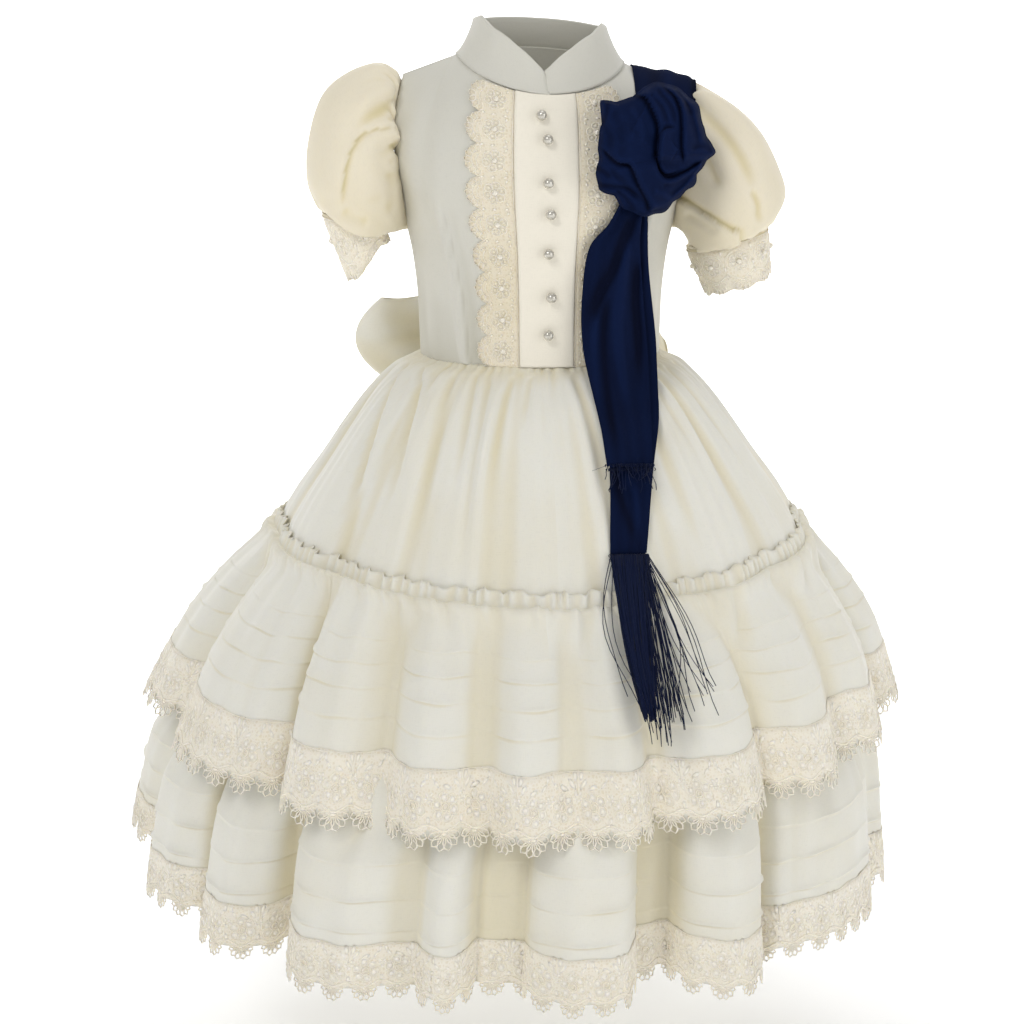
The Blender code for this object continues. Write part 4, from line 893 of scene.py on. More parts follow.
def cord(path, width=1.2, height=0.9, base=0.0, closed=False):
    """A cord of lace along a flat path: a low ridge. Returns points (x, y, height) and faces."""
    path = np.asarray(path, float)
    ahead = np.roll(path, -1, 0) - np.roll(path, 1, 0) if closed else np.gradient(path, axis=0)
    side = np.stack([-ahead[:, 1], ahead[:, 0]], 1)
    side /= np.maximum(np.linalg.norm(side, axis=1, keepdims=True), 1e-9)
    flat = np.full((len(path), 1), base)
    rings = np.stack([
        np.hstack([path + side * width / 2, flat]),
        np.hstack([path, flat + height]),
        np.hstack([path - side * width / 2, flat]),
    ], axis=1)
    faces = []
    count = len(path)
    for k in range(count if closed else count - 1):
        a, b = 3 * k, 3 * ((k + 1) % count)
        for i, j in ((0, 1), (1, 2), (2, 0)):
            faces.append((a + i, a + j, b + j, b + i))
    if not closed:
        faces.append((2, 1, 0))
        faces.append((3 * count - 3, 3 * count - 2, 3 * count - 1))
    return rings.reshape(-1, 3), faces


def leaf(centre, direction, length, width, height=1.0, corners=8):
    """A satin-stitched leaf or petal: a low closed dome with a raised middle."""
    turn = np.linspace(0, 2 * np.pi, corners, endpoint=False)
    along = np.cos(turn) * length / 2
    across = np.sin(turn) * width / 2 * (1 - 0.25 * np.cos(turn))
    c, s = math.cos(direction), math.sin(direction)
    points = [(centre[0], centre[1], height)]
    points += [(centre[0] + c * a - s * b, centre[1] + s * a + c * b, 0.05) for a, b in zip(along, across)]
    # The back has a middle of its own, so that it bends into a fold with the front.
    points.append((centre[0], centre[1], -0.1))
    faces = [(0, 1 + k, 1 + (k + 1) % corners) for k in range(corners)]
    faces += [(corners + 1, 1 + (k + 1) % corners, 1 + k) for k in range(corners)]
    return np.array(points), faces


def oval(centre, direction, length, width, corners):
    turn = np.linspace(0, 2 * np.pi, corners, endpoint=False)
    along, across = np.cos(turn) * length / 2, np.sin(turn) * width / 2
    c, s = math.cos(direction), math.sin(direction)
    return np.stack([centre[0] + c * along - s * across, centre[1] + s * along + c * across], 1)


def flower(x, y, radius, petals, turn=0.0, fill=0.4):
    """A flower: corded petals over a raised fill, round a corded ring."""
    parts = []
    for k in range(petals):
        angle = turn + 2 * math.pi * k / petals
        far = radius * 0.64
        centre = (x + far * math.cos(angle), y + far * math.sin(angle))
        wide = 2 * radius * 0.60 * math.sin(math.pi / petals) * 1.3
        parts.append(leaf(centre, angle, radius * 0.66, wide * 0.86, fill, 6))
        parts.append(cord(oval(centre, angle, radius * 0.72, wide, 7), 1.2, 0.9, 0.0, True))
    parts.append(cord(oval((x, y), 0.0, radius * 0.42, radius * 0.42, 8), 1.5, 1.4, 0.0, True))
    return parts


def fan(x, y, size, loops, spread, corners=7):
    """The open fan of a scallop: long loops side by side round its middle."""
    parts = []
    for k in range(loops):
        angle = math.pi / 2 + lerp(-spread, spread, k / (loops - 1))
        reach = size * (0.84 + 0.16 * math.cos((angle - math.pi / 2) * 0.9))
        centre = (x + reach * 0.60 * math.cos(angle), y + reach * 0.60 * math.sin(angle))
        wide = 2 * spread / (loops - 1) * reach * 0.86
        parts.append(cord(oval(centre, angle, reach * 0.80, wide, corners), 1.5, 1.0, 0.0, True))
    parts.append(leaf((x, y + size * 0.10), 0.0, size * 0.5, size * 0.26, 1.0, 7))
    return parts


def joined(parts):
    """Points and faces of many small solids, each turned to face out."""
    points, faces, start = [], [], 0
    for more, polygons in parts:
        volume = 0.0
        for face in polygons:
            a = more[face[0]]
            for i in range(1, len(face) - 1):
                volume += np.dot(a, np.cross(more[face[i]], more[face[i + 1]]))
        for face in polygons:
            face = face[::-1] if volume < 0 else face
            faces.append(tuple(start + i for i in face))
        points.append(more)
        start += len(more)
    return np.concatenate(points), faces


def border_motif(pitch, depth):
    """Two flowers with their fans, leaves and sprays, of the border of a flounce: x along, y down."""
    parts = []
    flower_y, wave_y = depth * 0.47, depth * 0.71
    for half in (pitch / 2, pitch * 1.5):
        parts += flower(half, flower_y, 11.6, 6, 0.3)
        wave = [(x, wave_y + 2.6 * math.cos(2 * math.pi * (x - half) / pitch))
                for x in np.linspace(half - pitch / 2, half + pitch / 2, 10)]
        parts.append(cord(wave, 2.3, 1.4))
        parts += fan(half, wave_y + 3.0, depth - wave_y - 3.0, 6, 1.3)
        edge = half - pitch / 2
        parts.append(leaf((edge, depth * 0.62), math.pi / 2, 9, 4.2, 0.5, 7))
        parts += [leaf((edge + 3.0 * math.cos(a), depth * 0.36 + 3.0 * math.sin(a)), a, 4.8, 3.4, 0.5, 6)
                  for a in np.linspace(0.3, 2 * math.pi + 0.3, 5, endpoint=False)]
    for sign in (-1, 1):
        for reach, tilt, long, rise in ((5.0, 0.95, 14, 0.20), (12.5, 0.45, 12, 0.24), (2.6, 1.35, 10, 0.11)):
            at = (pitch + sign * reach, depth * rise)
            parts.append(leaf(at, math.pi / 2 + sign * (math.pi / 2 - tilt), long, 4.8, 0.5, 7))
    parts.append(cord([(pitch, depth * v) for v in (0.04, 0.14, 0.24, 0.32)], 1.3, 1.0))
    for x0, sign in ((0.0, 1), (2 * pitch, -1)):
        for reach, tilt, long, rise in ((5.5, 0.9, 10, 0.20), (2.4, 1.4, 8, 0.11)):
            at = (x0 + sign * reach, depth * rise)
            parts.append(leaf(at, math.pi / 2 - sign * (math.pi / 2 - tilt), long, 3.8, 0.5, 6))
    parts.append(cord([(x, depth * 0.05) for x in np.linspace(0, 2 * pitch, 9)], 0.8, 0.7))
    return joined(parts)


class Ground:
    """A fine grid that lace is laid on: lengths along and down, points and normals."""

    def __init__(self, grid, closed, reference, lift=0.0):
        normal = normals_of(grid, closed, reference)
        if closed:
            grid = np.concatenate([grid, grid[:, :1]], axis=1)
            normal = np.concatenate([normal, normal[:, :1]], axis=1)
        across = np.linalg.norm(np.diff(grid, axis=1), axis=2).mean(axis=0)
        down = np.linalg.norm(np.diff(grid, axis=0), axis=2).mean(axis=1)
        self.along = np.concatenate([[0], np.cumsum(across)])
        self.down = np.concatenate([[0], np.cumsum(down)])
        self.grid, self.normal, self.lift, self.closed = grid, normal, lift, closed

    def place(self, points):
        """Points (along, down, height) put on the grid, the first two in shares of its size."""
        at = np.interp(points[:, 0] * self.along[-1], self.along, np.arange(len(self.along)))
        row = np.interp(points[:, 1] * self.down[-1], self.down, np.arange(len(self.down)))
        i = np.clip(at.astype(int), 0, len(self.along) - 2)
        j = np.clip(row.astype(int), 0, len(self.down) - 2)
        f, g = (at - i)[:, None], (row - j)[:, None]

        def between(values):
            return lerp(lerp(values[j, i], values[j, i + 1], f),
                        lerp(values[j + 1, i], values[j + 1, i + 1], f), g)

        return between(self.grid) + (points[:, 2:] + self.lift) * between(self.normal)


def repeat_motif(ground, motif, pitch, depth, count):
    """A motif set side by side along the ground, count times."""
    points, faces = motif
    wide, tall = pitch * count, depth
    cells, polygons = [], []
    for n in range(count):
        moved = points * (1 / wide, 1 / tall, 1)
        moved[:, 0] += n / count
        cells.append(moved)
        start = n * len(points)
        polygons += [tuple(start + i for i in face) for face in faces]
    flat = np.concatenate(cells)
    if ground.closed:
        flat[:, 0] %= 1.0
    flat[:, :2] = np.clip(flat[:, :2], 0, 1)
    return ground.place(flat), polygons, flat[:, :2] * (wide, tall), flat[:, 2]


def place_net(ground, cells, rows, top, bottom, closed=True):
    """The fine mesh of a lace between two curves, each a function of the place along it."""
    count = cells if closed else cells + 1
    along = np.arange(count) / cells
    first, last = top(along), bottom(along)
    share = np.linspace(0, 1, rows)[:, None]
    down = np.clip(lerp(first[None, :], last[None, :], share), 0, 1)
    flat = np.stack([np.broadcast_to(along, down.shape), down, 0 * down], axis=-1).reshape(-1, 3)
    high = ground.place(flat + (0, 0, 0.2)).reshape(rows, count, 3)
    low = ground.place(flat + (0, 0, -0.2)).reshape(rows, count, 3)
    points, faces, _ = wall_parts(high, low, closed)
    length = ground.along[-1]
    where = flat[:, :2] * (length, ground.down[-1])
    coords = np.concatenate([where, where])[faces]
    x = coords[..., 0]
    # A face that closes the round has its corners at the start moved past the end.
    wrapped = x.max(axis=1) - x.min(axis=1) > length / 2
    coords[..., 0] = np.where(wrapped[:, None] & (x < length / 2) & closed, x + length, x)
    return points, faces, coords


def straight(along):
    """An edge of a net that runs along the seam."""
    return 0 * along


def scalloped(start, deep, count, sharpness):
    """An edge of a net that hangs lowest at the middle of each of so many flowers."""
    return lambda along: start + deep * np.abs(np.sin(np.pi * along * count)) ** sharpness


def flower_middles(ground, count, down, height):
    """Where pearls are sewn on: the middles of a row of so many flowers."""
    return [ground.place(np.array([[(n + 0.5) / count, down, height]]))[0] for n in range(count)]


def lace_piece(name, ground, motifs, net, slot, nodes, deep=0.0):
    """Joins motifs and the fine net between them into one piece of lace."""
    points, faces, coords, fold, slots, start = [], [], [], [], [], 0
    for found, polygons, flat, height in motifs:
        points.append(found)
        faces += [tuple(start + i for i in face) for face in polygons]
        coords.append(np.concatenate([flat[list(face)] for face in polygons]))
        # Painted shade: the low parts of the cords and leaves are darker than their tops; deep moves the
        # whole lace towards the darker colour.
        fold.append(np.clip(0.65 - height + deep, 0, 1))
        slots += [0] * len(polygons)
        start += len(found)
    found, quads, flat = net
    points.append(found)
    faces += [tuple(q) for q in (quads + start).tolist()]
    coords.append(flat.reshape(-1, 2))
    # The net lies low, so it gets painted shade too.
    fold.append(np.full(len(found), 0.3 + deep))
    slots += [1] * len(quads)
    piece = add_mesh(name, np.concatenate(points), faces, np.concatenate(coords), np.concatenate(fold))
    piece.data.materials.append(GUIPURE)
    piece.data.materials.append(NET)
    piece.data.polygons.foreach_set("material_index", slots)
    belongs(piece, slot, *nodes)


def build_border(name, node, grid, level, top, pitch):
    """The lace border of a flounce, laid on its lowest part and hanging over its edge."""
    rows = [r for r in range(len(grid)) if level[r].min() > top - 0.02]
    base = grid[rows]
    last = unit(base[-1] - base[-2])
    base = np.concatenate([base, (base[-1] + last * LACE_OVERHANG / 2)[None],
                           (base[-1] + last * LACE_OVERHANG)[None]])
    ground = Ground(base, True, DRESS_MIDDLE, 0.45)
    length, depth = ground.along[-1], ground.down[-1]
    count = 2 * round(length / pitch / 2)
    pitch = length / count
    motifs = [repeat_motif(ground, border_motif(pitch, depth), 2 * pitch, depth, count // 2)]

    def upper_edge(along):
        return 0.05 - 0.035 * np.abs(np.cos(np.pi * along * count / 2)) ** 3

    net = place_net(ground, 10 * count, 9, upper_edge, scalloped(0.72, 0.12, count, 0.8))
    lace_piece(name, ground, motifs, net, "guipure_lace", [node])


def build_flounces(skirt):
    def upper_head(degrees):
        lean = fold_of(UPPER_FOLDS, degrees)[2]
        point = skirt_points(degrees + lean, 4.0)
        return point + unit(point * (1, 1, 0)) * 0.9 + (0, 0, -0.5)

    def under_heading(grid, level):
        near = kept_apart(grid, skirt, 1.3, True)
        return lerp(near, kept_apart(grid, skirt, SKIRT_CLEARANCE, True), smooth(level / 0.7)[..., None])

    plain = (0.0, 0.05, 0.11, 0.19, 0.3, 0.44, 0.6, 0.8, 1.0, 1.25, 1.5, 1.7, 2.1, 2.5, 2.86, 3.2, 3.36, 3.5,
             3.66, 3.83, 4.0)
    upper, level = build_flounce(
        "upper_flounce_cloth", "flounce_upper", UPPER_RINGS, UPPER_FOLDS, UPPER_COLUMNS, plain, UPPER_TUCKS,
        upper_head, under_heading, 21, (118, 3.0, 3.2),
        1.5, 13.0,
    )
    build_border("upper_lace", "lace_upper", upper, level, UPPER_LACE_TOP, 27.0)
    # The lower flounce stays inside the upper one and its border.
    cover = np.concatenate([upper[::3], (upper[-1] + unit(upper[-1] - upper[-2]) * 14.5)[None]])

    def lower_head(degrees):
        return skirt_points(degrees, 5.0) + (0, 0, -1.0)

    plain = (0.0, 0.08, 0.2, 0.4, 0.62, 0.85, 1.1, 1.35, 1.6, 1.8, 2.2, 2.4, 2.75, 2.9, 3.26, 3.42,
             3.6, 3.8, 4.0)
    lower, level = build_flounce(
        "lower_flounce_cloth", "flounce_lower", LOWER_RINGS, LOWER_FOLDS, LOWER_COLUMNS, plain, LOWER_TUCKS,
        lower_head, lambda grid, level: kept_apart(grid, cover, NEST_CLEARANCE, False), 34, (96, 2.6, 2.6),
        2.0, 4.0,
    )
    build_border("lower_lace", "lace_lower", lower, level, LOWER_LACE_TOP, 27.0)


# Bodice.

def neckline(share, back):
    angle = share * np.pi / 2
    y, z = NECK_BACK if back else NECK_FRONT
    level = NECK_SIDE_Z + (z - NECK_SIDE_Z) * np.maximum(np.cos(angle), 0) ** 1.4
    edge = 0.3 if back else -0.3
    return np.stack([NECK_HALF_WIDTH * np.sin(angle), y * np.cos(angle) + edge, level], axis=-1)


def leaned(points):
    share = smooth((points[..., 2] - LEAN_START) / (LEAN_END - LEAN_START))
    lower = points.copy()
    lower[..., 2] = points[..., 2] - LEAN * share * points[..., 0]
    return lower


def bodice_points(u, v, back=False, sign=1):
    """Points of one half of the bodice: u from the centre to the side, v from waist to top."""
    u, v = np.broadcast_arrays(np.asarray(u, float), np.asarray(v, float))
    _, zc, yc, zs, xs, ys = np.moveaxis(key_at(BACK_SECTIONS if back else FRONT_SECTIONS, v), -1, 0)
    angle = u * np.pi / 2
    c = np.maximum(np.cos(angle), 0)
    x, y = xs * np.sin(angle), ys + (yc - ys) * c
    z = lerp(zs, zc, c ** 1.3)
    waist = WAIST_Z + 0.4 + WAIST_TILT * y
    z = np.where(v < 0.2, lerp(waist, z, np.clip(v / 0.2, 0, 1)), z)
    section = np.stack([x, y, z], axis=-1)
    top = neckline(np.clip(u / NECK_SHARE, 0, 1), back)
    side = np.clip((u - NECK_SHARE) / (1 - NECK_SHARE), 0, 1)[..., None]
    top = lerp(top, np.stack([xs, ys, zs], axis=-1), side)
    pull = (np.maximum(0.0, (v - 0.62) / 0.38) ** 1.6)[..., None]
    return leaned(lerp(section, top, pull) * (sign, 1, 1))


def dart(u, v, start, end, top):
    """A sewn dart: a fine groove with a soft ridge beside it."""
    centre = lerp(start, end, v / top)
    live = smooth((top - v) / 0.16)
    away = (u - centre) * 150
    return live * (-2.4 * np.exp(-(away / 1.6) ** 2) + 3.0 * np.exp(-((away - 4.8) / 3.8) ** 2)
                   - 1.4 * np.exp(-((away + 7.0) / 5.0) ** 2))


# Soft dents of the worn bodice. columns: u, v, size in u, size in v, height
FRONT_DENTS = [
    (0.86, 0.58, 0.16, 0.10, -3.0), (0.74, 0.72, 0.10, 0.14, 1.8), (0.55, 0.30, 0.12, 0.22, 1.4),
    (0.9, 0.22, 0.10, 0.2, -1.2), (0.64, 0.9, 0.14, 0.06, 0.8), (0.52, 0.66, 0.06, 0.10, 1.4),
    (0.72, 0.16, 0.05, 0.12, 1.2), (0.62, 0.52, 0.05, 0.12, -1.0),
]


def dents(u, v, rows):
    total = 0.0
    for at_u, at_v, wide, tall, height in rows:
        total = total + height * np.exp(-(((u - at_u) / wide) ** 2) - ((v - at_v) / tall) ** 2)
    return total


# How far the edges of the panels stay off the middle of the dress.
EDGE_STEP = 0.2


def build_bodice():
    v = np.linspace(1.0, 0.0, 64)[:, None]
    u = np.linspace(0.0, 1.0, 56)[None, :]
    lift = dart(u, v, 0.415, 0.53, 0.62) + dents(u, v, FRONT_DENTS)
    # Painted shade: darker where the dart and the dents sink, lighter where they rise, and darker towards the
    # waist and the side.
    fold = np.clip(0.3 - 0.22 * lift + 0.8 * smooth((0.5 - v) / 0.5) * (0.25 + 0.75 * u), 0, 1)
    relief = lift * smooth((1 - u) / 0.06) * smooth(v / 0.04)
    for name, node, sign in (
        ("right_front", "bodice_front_right", -1), ("left_front", "bodice_front_left", 1),
    ):
        grid = bodice_points(u, v, False, sign)
        grid = grid + relief[..., None] * normals_of(grid, False, DRESS_MIDDLE)
        grid[..., 0] = sign * np.maximum(sign * grid[..., 0], EDGE_STEP)
        piece = cloth_piece(name, grid, False, DRESS_MIDDLE, BODICE, fold=fold)
        belongs(piece, "bodice_cloth", node)
    half = np.linspace(0.0, 1.0, 48)[None, :]
    v = np.linspace(1.0, 0.0, 56)[:, None]
    lift = dart(half, v, 0.42, 0.45, 0.5)
    sides = []
    for sign in (-1, 1):
        grid = bodice_points(half, v, True, sign)
        grid = grid + (lift * smooth((1 - half) / 0.06))[..., None] * normals_of(grid, False, DRESS_MIDDLE)
        sides.append(grid)
    grid = np.concatenate([sides[0][:, :0:-1], sides[1]], axis=1)
    grid[..., 1] = np.maximum(grid[..., 1], EDGE_STEP)
    piece = cloth_piece("back_panel", grid, False, DRESS_MIDDLE, BODICE, fold=0.25)
    belongs(piece, "bodice_cloth", "bodice_back")


def trim_lift(v):
    return LAY_GAP + NECK_LIFT * smooth((v - 0.66) / 0.2)


def build_placket():
    levels = np.linspace(TRIM_TOP, 0.0, 90)[:, None]
    share = np.concatenate([[-PLACKET_EDGE], np.linspace(-0.133, 0.133, 22), [PLACKET_EDGE]])[None, :]
    sides = []
    for sign in (-1, 1):
        u = np.abs(share) + 0 * levels
        sides.append(bodice_points(u, levels + 0 * share, False, sign))
    grid = np.where((share < 0)[..., None], sides[0], sides[1])
    edge = smooth((PLACKET_EDGE - np.abs(share)) / 0.007)
    fold_line = -0.3 * np.exp(-((np.abs(share) - PLACKET_EDGE + 0.026) / 0.006) ** 2)
    lift = trim_lift(levels) + lerp(0.5, 1.7, edge) + fold_line + 0.15 * np.sin(levels * 31 + share * 9)
    grid = grid + lift[..., None] * normals_of(grid, False, DRESS_MIDDLE)
    piece = cloth_piece("button_placket", grid, False, DRESS_MIDDLE, PRESSED, 1.1, fold=0.2)
    belongs(piece, "sleeve_cloth", "placket")
    return grid


# Upper edge of the collar as it is worn. columns: degrees from the front, lean inwards, height
COLLAR_EDGE = [
    (0, 9, 18), (8, 10, 26.5), (15, 11, 32), (30, 13, 38.5), (42, 14, 40.5), (56, 15, 41.5),
    (65, 15, 41.5), (72, 15, 37), (84, 14, 31), (98, 13, 28), (130, 10, 26), (180, 9, 25),
]


def build_collar():
    columns, rows = 180, 18
    start, end = COLLAR_ENDS
    degrees = np.linspace(start, end, columns)[None, :]
    level = np.linspace(1.0, 0.0, rows)[:, None]
    angle = np.radians(degrees)
    s, c = np.sin(angle), np.cos(angle)
    folded = np.abs(half_turn(degrees))
    front = neckline(np.clip(folded, 0, 90) / 90, False)
    back = neckline(np.clip(180 - folded, 0, 90) / 90, True)
    seam = np.where((folded > 90)[..., None], back, front)
    seam[..., 0] *= np.sign(s) + (s == 0)
    seam = leaned(seam + (0, 0, SEAM_STEP))
    table = np.array(COLLAR_EDGE, float)
    lean, height = np.interp(folded, table[:, 0], table[:, 1]), np.interp(folded, table[:, 0], table[:, 2])
    height = softened(height, 2)
    to_end = np.minimum(degrees - start, end - degrees)
    height = np.minimum(height, 3 + 37 * np.sqrt(np.clip(to_end / 22, 0, 1)))
    crossing = COLLAR_CROSSING * smooth(1 - (end - degrees) / 34)
    out = 2.2 * (1 - level) ** 3 - lean * level ** 0.75 + crossing
    roll = 0.5 * np.exp(-(((level - 0.955) / 0.02) ** 2)) + 0.9 * np.sin(angle * 5 + 1) * level * (1 - level)
    out = out + roll + 1.1 * np.exp(-(((folded - 47) / 7) ** 2)) * level
    grid = seam + np.stack([s * out, -c * out, height * level], axis=-1)
    piece = cloth_piece("collar_band", grid, False, (0, 0, -10), BODICE, 1.7, fold=0.15)
    belongs(piece, "bodice_cloth", "collar")


# Sleeves.

def tube_rows(rings, sign, columns):
    angle = 2 * np.pi * np.arange(columns) / columns
    s, c = np.sin(angle), np.cos(angle)
    full = 1 / (np.abs(s) ** PUFF_SQUARE + np.abs(c) ** PUFF_SQUARE) ** (1 / PUFF_SQUARE)
    rows = []
    for top_x, top_z, low_x, low_z, depth, fall in rings:
        x = (top_x + low_x) / 2 + (top_x - low_x) / 2 * c * full
        z = (top_z + low_z) / 2 + (top_z - low_z) / 2 * c * full - fall * s * s
        rows.append(np.stack([sign * x, -depth * s * full, z], axis=-1))
    return np.array(rows)


def armhole_row(sign, columns):
    levels = np.linspace(1.0, ARMPIT_LEVEL, 40)
    edge = np.concatenate([bodice_points(1.0, levels), bodice_points(1.0, levels[::-1], True)])
    steps = np.linalg.norm(np.diff(edge, axis=0), axis=1)
    length = np.concatenate([[0], np.cumsum(steps)])
    at = length[-1] * np.arange(columns) / columns
    row = np.stack([np.interp(at, length, edge[:, axis]) for axis in range(3)], axis=-1)
    row = row + (SEAM_STEP, 0, 0)
    # Turned over to the right side, the lean of the left shoulder is taken out again.
    return leaned(row * (-1, 1, 1)) if sign < 0 else row


def stroke(x, z, path):
    """Distance of flat points to a path, which side they lie on, and how far along it."""
    path = np.asarray(path, float)
    best, side, along = np.full(x.shape, 1e9), np.zeros(x.shape), np.zeros(x.shape)
    for k in range(len(path) - 1):
        a, d = path[k], path[k + 1] - path[k]
        t = np.clip(((x - a[0]) * d[0] + (z - a[1]) * d[1]) / (d @ d), 0, 1)
        px, pz = x - a[0] - t * d[0], z - a[1] - t * d[1]
        far = np.hypot(px, pz)
        closer = far < best
        best = np.where(closer, far, best)
        side = np.where(closer, np.sign(d[0] * pz - d[1] * px), side)
        along = np.where(closer, (k + t) / (len(path) - 1), along)
    return best, side, along


def smooth_path(path, steps=6):
    """A path as drawn, with more points on a smooth curve through it."""
    return curve_at(path, np.linspace(0, len(path) - 1, (len(path) - 1) * steps + 1))


def strokes(x, z, rows):
    """Troughs and ridges along paths. columns: height, width on the left and right of the path,
    points of the path"""
    total = 0.0
    for height, left, right, path in rows:
        far, side, along = stroke(x, z, smooth_path(path))
        wide = np.where(side > 0, left, right)
        fade = smooth(along / 0.16 + 0.1) * smooth((1 - along) / 0.3 + 0.05)
        total = total + height * fade * np.exp(-((far / wide) ** 2))
    return total


def layers(x, z, rows):
    """Layers of cloth that lie over each other. columns: height over the layer below, width of the
    roll at the edge, slope of the rest, points of the edge with the layer on the left"""
    total = 0.0
    for step, roll, slope, edge in rows:
        far, side, along = stroke(x, z, smooth_path(edge))
        inside = np.clip(side * far / roll, 0, 1)
        over = np.sqrt(inside * (2 - inside)) * np.exp(-np.maximum(side * far - roll, 0) / slope)
        under = -0.45 * np.exp(-((far / 3.2) ** 2)) * (side <= 0)
        taper = smooth(along / 0.14 + 0.05) * smooth((1 - along) / 0.14 + 0.05)
        total = total + step * taper * (over + under)
    return total


# Folds on the front of the puffs, in x and z, and the panel that lies over the rest
RIGHT_PUFF_FOLDS = [
    (-3.6, 6, 8, [(-122, -44), (-136, -49), (-149, -57), (-159, -68), (-163, -84)]),
    (3.0, 5, 7, [(-124, -31), (-136, -34), (-149, -41), (-160, -53)]),
    (-2.2, 2.4, 3, [(-121, -36), (-128, -40), (-135, -43)]),
    (-2.4, 2.4, 3, [(-121, -54), (-129, -56), (-138, -59)]),
    (-2.0, 2, 3, [(-122, -74), (-128, -77), (-134, -82)]),
    (-1.8, 2, 3, [(-122, -88), (-128, -90), (-133, -94)]),
    (-2.6, 4, 5, [(-172, -130), (-166, -136), (-156, -141), (-148, -142)]),
    (-2.6, 4, 5, [(-131, -98), (-129, -120), (-132, -140)]),
    (2.0, 8, 8, [(-148, -84), (-150, -104), (-146, -124)]),
]
RIGHT_PUFF_LAYERS = [
    (3.4, 6.0, 60, [(-173, -128), (-171, -108), (-167, -89), (-160, -74), (-150, -66), (-138, -64),
                    (-124, -65)]),
]
LEFT_PUFF_FOLDS = [
    (-4.4, 6, 8, [(126, -44), (139, -53), (153, -66), (167, -84), (175, -102), (174, -118)]),
    (3.4, 7, 7, [(132, -34), (147, -41), (168, -56), (186, -79), (195, -100)]),
    (-3.0, 4, 6, [(126, -74), (138, -88), (146, -104), (148, -116)]),
    (-3.2, 4, 4, [(178, -116), (184, -130), (182, -146)]),
    (-2.6, 4, 5, [(126, -136), (140, -144), (152, -153)]),
]
LEFT_PUFF_LAYERS = [
    (4.6, 3.0, 26, [(168, -150), (160, -150), (145, -141), (126, -129), (112, -120)]),
]


def build_sleeves():
    for name, node, sign, rings, seed, folds, over in (
        ("right_puff", "sleeve_right", -1, SLEEVE_RIGHT_RINGS, 41, RIGHT_PUFF_FOLDS, RIGHT_PUFF_LAYERS),
        ("left_puff", "sleeve_left", 1, SLEEVE_LEFT_RINGS, 47, LEFT_PUFF_FOLDS, LEFT_PUFF_LAYERS),
    ):
        columns = 190
        key_rows = np.concatenate([armhole_row(sign, columns)[None], tube_rows(rings, sign, columns)])
        level = spans((0, 2, 21), (2, 4.6, 19), (4.6, 6, 14))
        grid = curve_at(key_rows, level)
        degrees = round_degrees(columns)
        down = level[:, None]
        near = gathers(degrees, down, 38, 0.30, 4.4, 2.2, 3.0, seed)
        near = near + gathers(degrees, down, 15, 0.27, 6.6, 4.0, 4.0, seed + 3)
        far = gathers(degrees, 6 - down, 38, 0.36, 2.8, 1.3, 3.0, seed + 1) * smooth((6 - down) / 0.25 + 0.2)
        far = far + gathers(degrees, 6 - down, 13, 0.34, 2.8, 2.6, 3.0, seed + 5) * smooth((6 - down) / 0.4)
        ends = smooth(down / 0.7) * smooth((6 - down) / 0.4)
        x, z = grid[..., 0], grid[..., 2]
        under = smooth((-z - 82) / 26)
        near = near * (1 - 0.85 * under)
        grid[..., 0] -= sign * 4.0 * under * smooth(1 - down / 1.8)
        front = (strokes(x, z, folds) + layers(x, z, over)) * smooth(-grid[..., 1] / 22)
        turned = [(h, a, b, [(px - sign * 2, pz - 5) for px, pz in path]) for h, a, b, path in folds]
        back = 0.8 * strokes(x, z, turned) * smooth(grid[..., 1] / 22)
        relief = (near - 2.2 * (1 - under) * smooth(1 - down / 1.2)) * smooth(down / 0.45)
        relief = relief + far - 1.4 * smooth(1 - (6 - down) / 1.2)
        relief = relief + (front + back) * ends
        middle = (sign * 158, 0, -95)
        normal = normals_of(softened(grid, 2), True, middle)
        grid = grid + relief[..., None] * normal
        # Painted shade: darker where the cloth lies below its surroundings and in the troughs of the front
        # and back folds, lighter on their ridges.
        fold = np.clip((softened(relief, 14) - relief) / 2.6 - 0.03 * (front + back), 0, 0.8)
        piece = cloth_piece(name, grid, True, middle, CREAM, fold=fold)
        belongs(piece, "sleeve_cloth", node)


def cuff_motif(pitch, depth):
    parts = flower(pitch / 2, depth * 0.36, 8.8, 6, 0.2)
    wave_y = depth * 0.66
    wave = [(x, wave_y + 2.2 * math.cos(2 * math.pi * (x / pitch - 0.5))) for x in np.linspace(0, pitch, 11)]
    parts.append(cord(wave, 1.6, 1.0))
    parts += fan(pitch / 2, wave_y + 2.6, depth - wave_y - 4.2, 6, 1.3)
    for y in (0.12, 0.46, 0.62):
        parts.append(leaf((0.5, depth * y), math.pi / 2, 7, 3.4, 0.8, 6))
    arch = [(pitch / 2 + 11.2 * math.sin(a), depth * 0.36 - 11 * math.cos(a)) for a in np.linspace(-2, 2, 9)]
    parts.append(cord([(x, max(y, 0.6)) for x, y in arch], 1.1, 0.9))
    parts.append(cord([(x, 0.6) for x in np.linspace(0, pitch, 4)], 1.1, 0.7))
    return joined(parts)


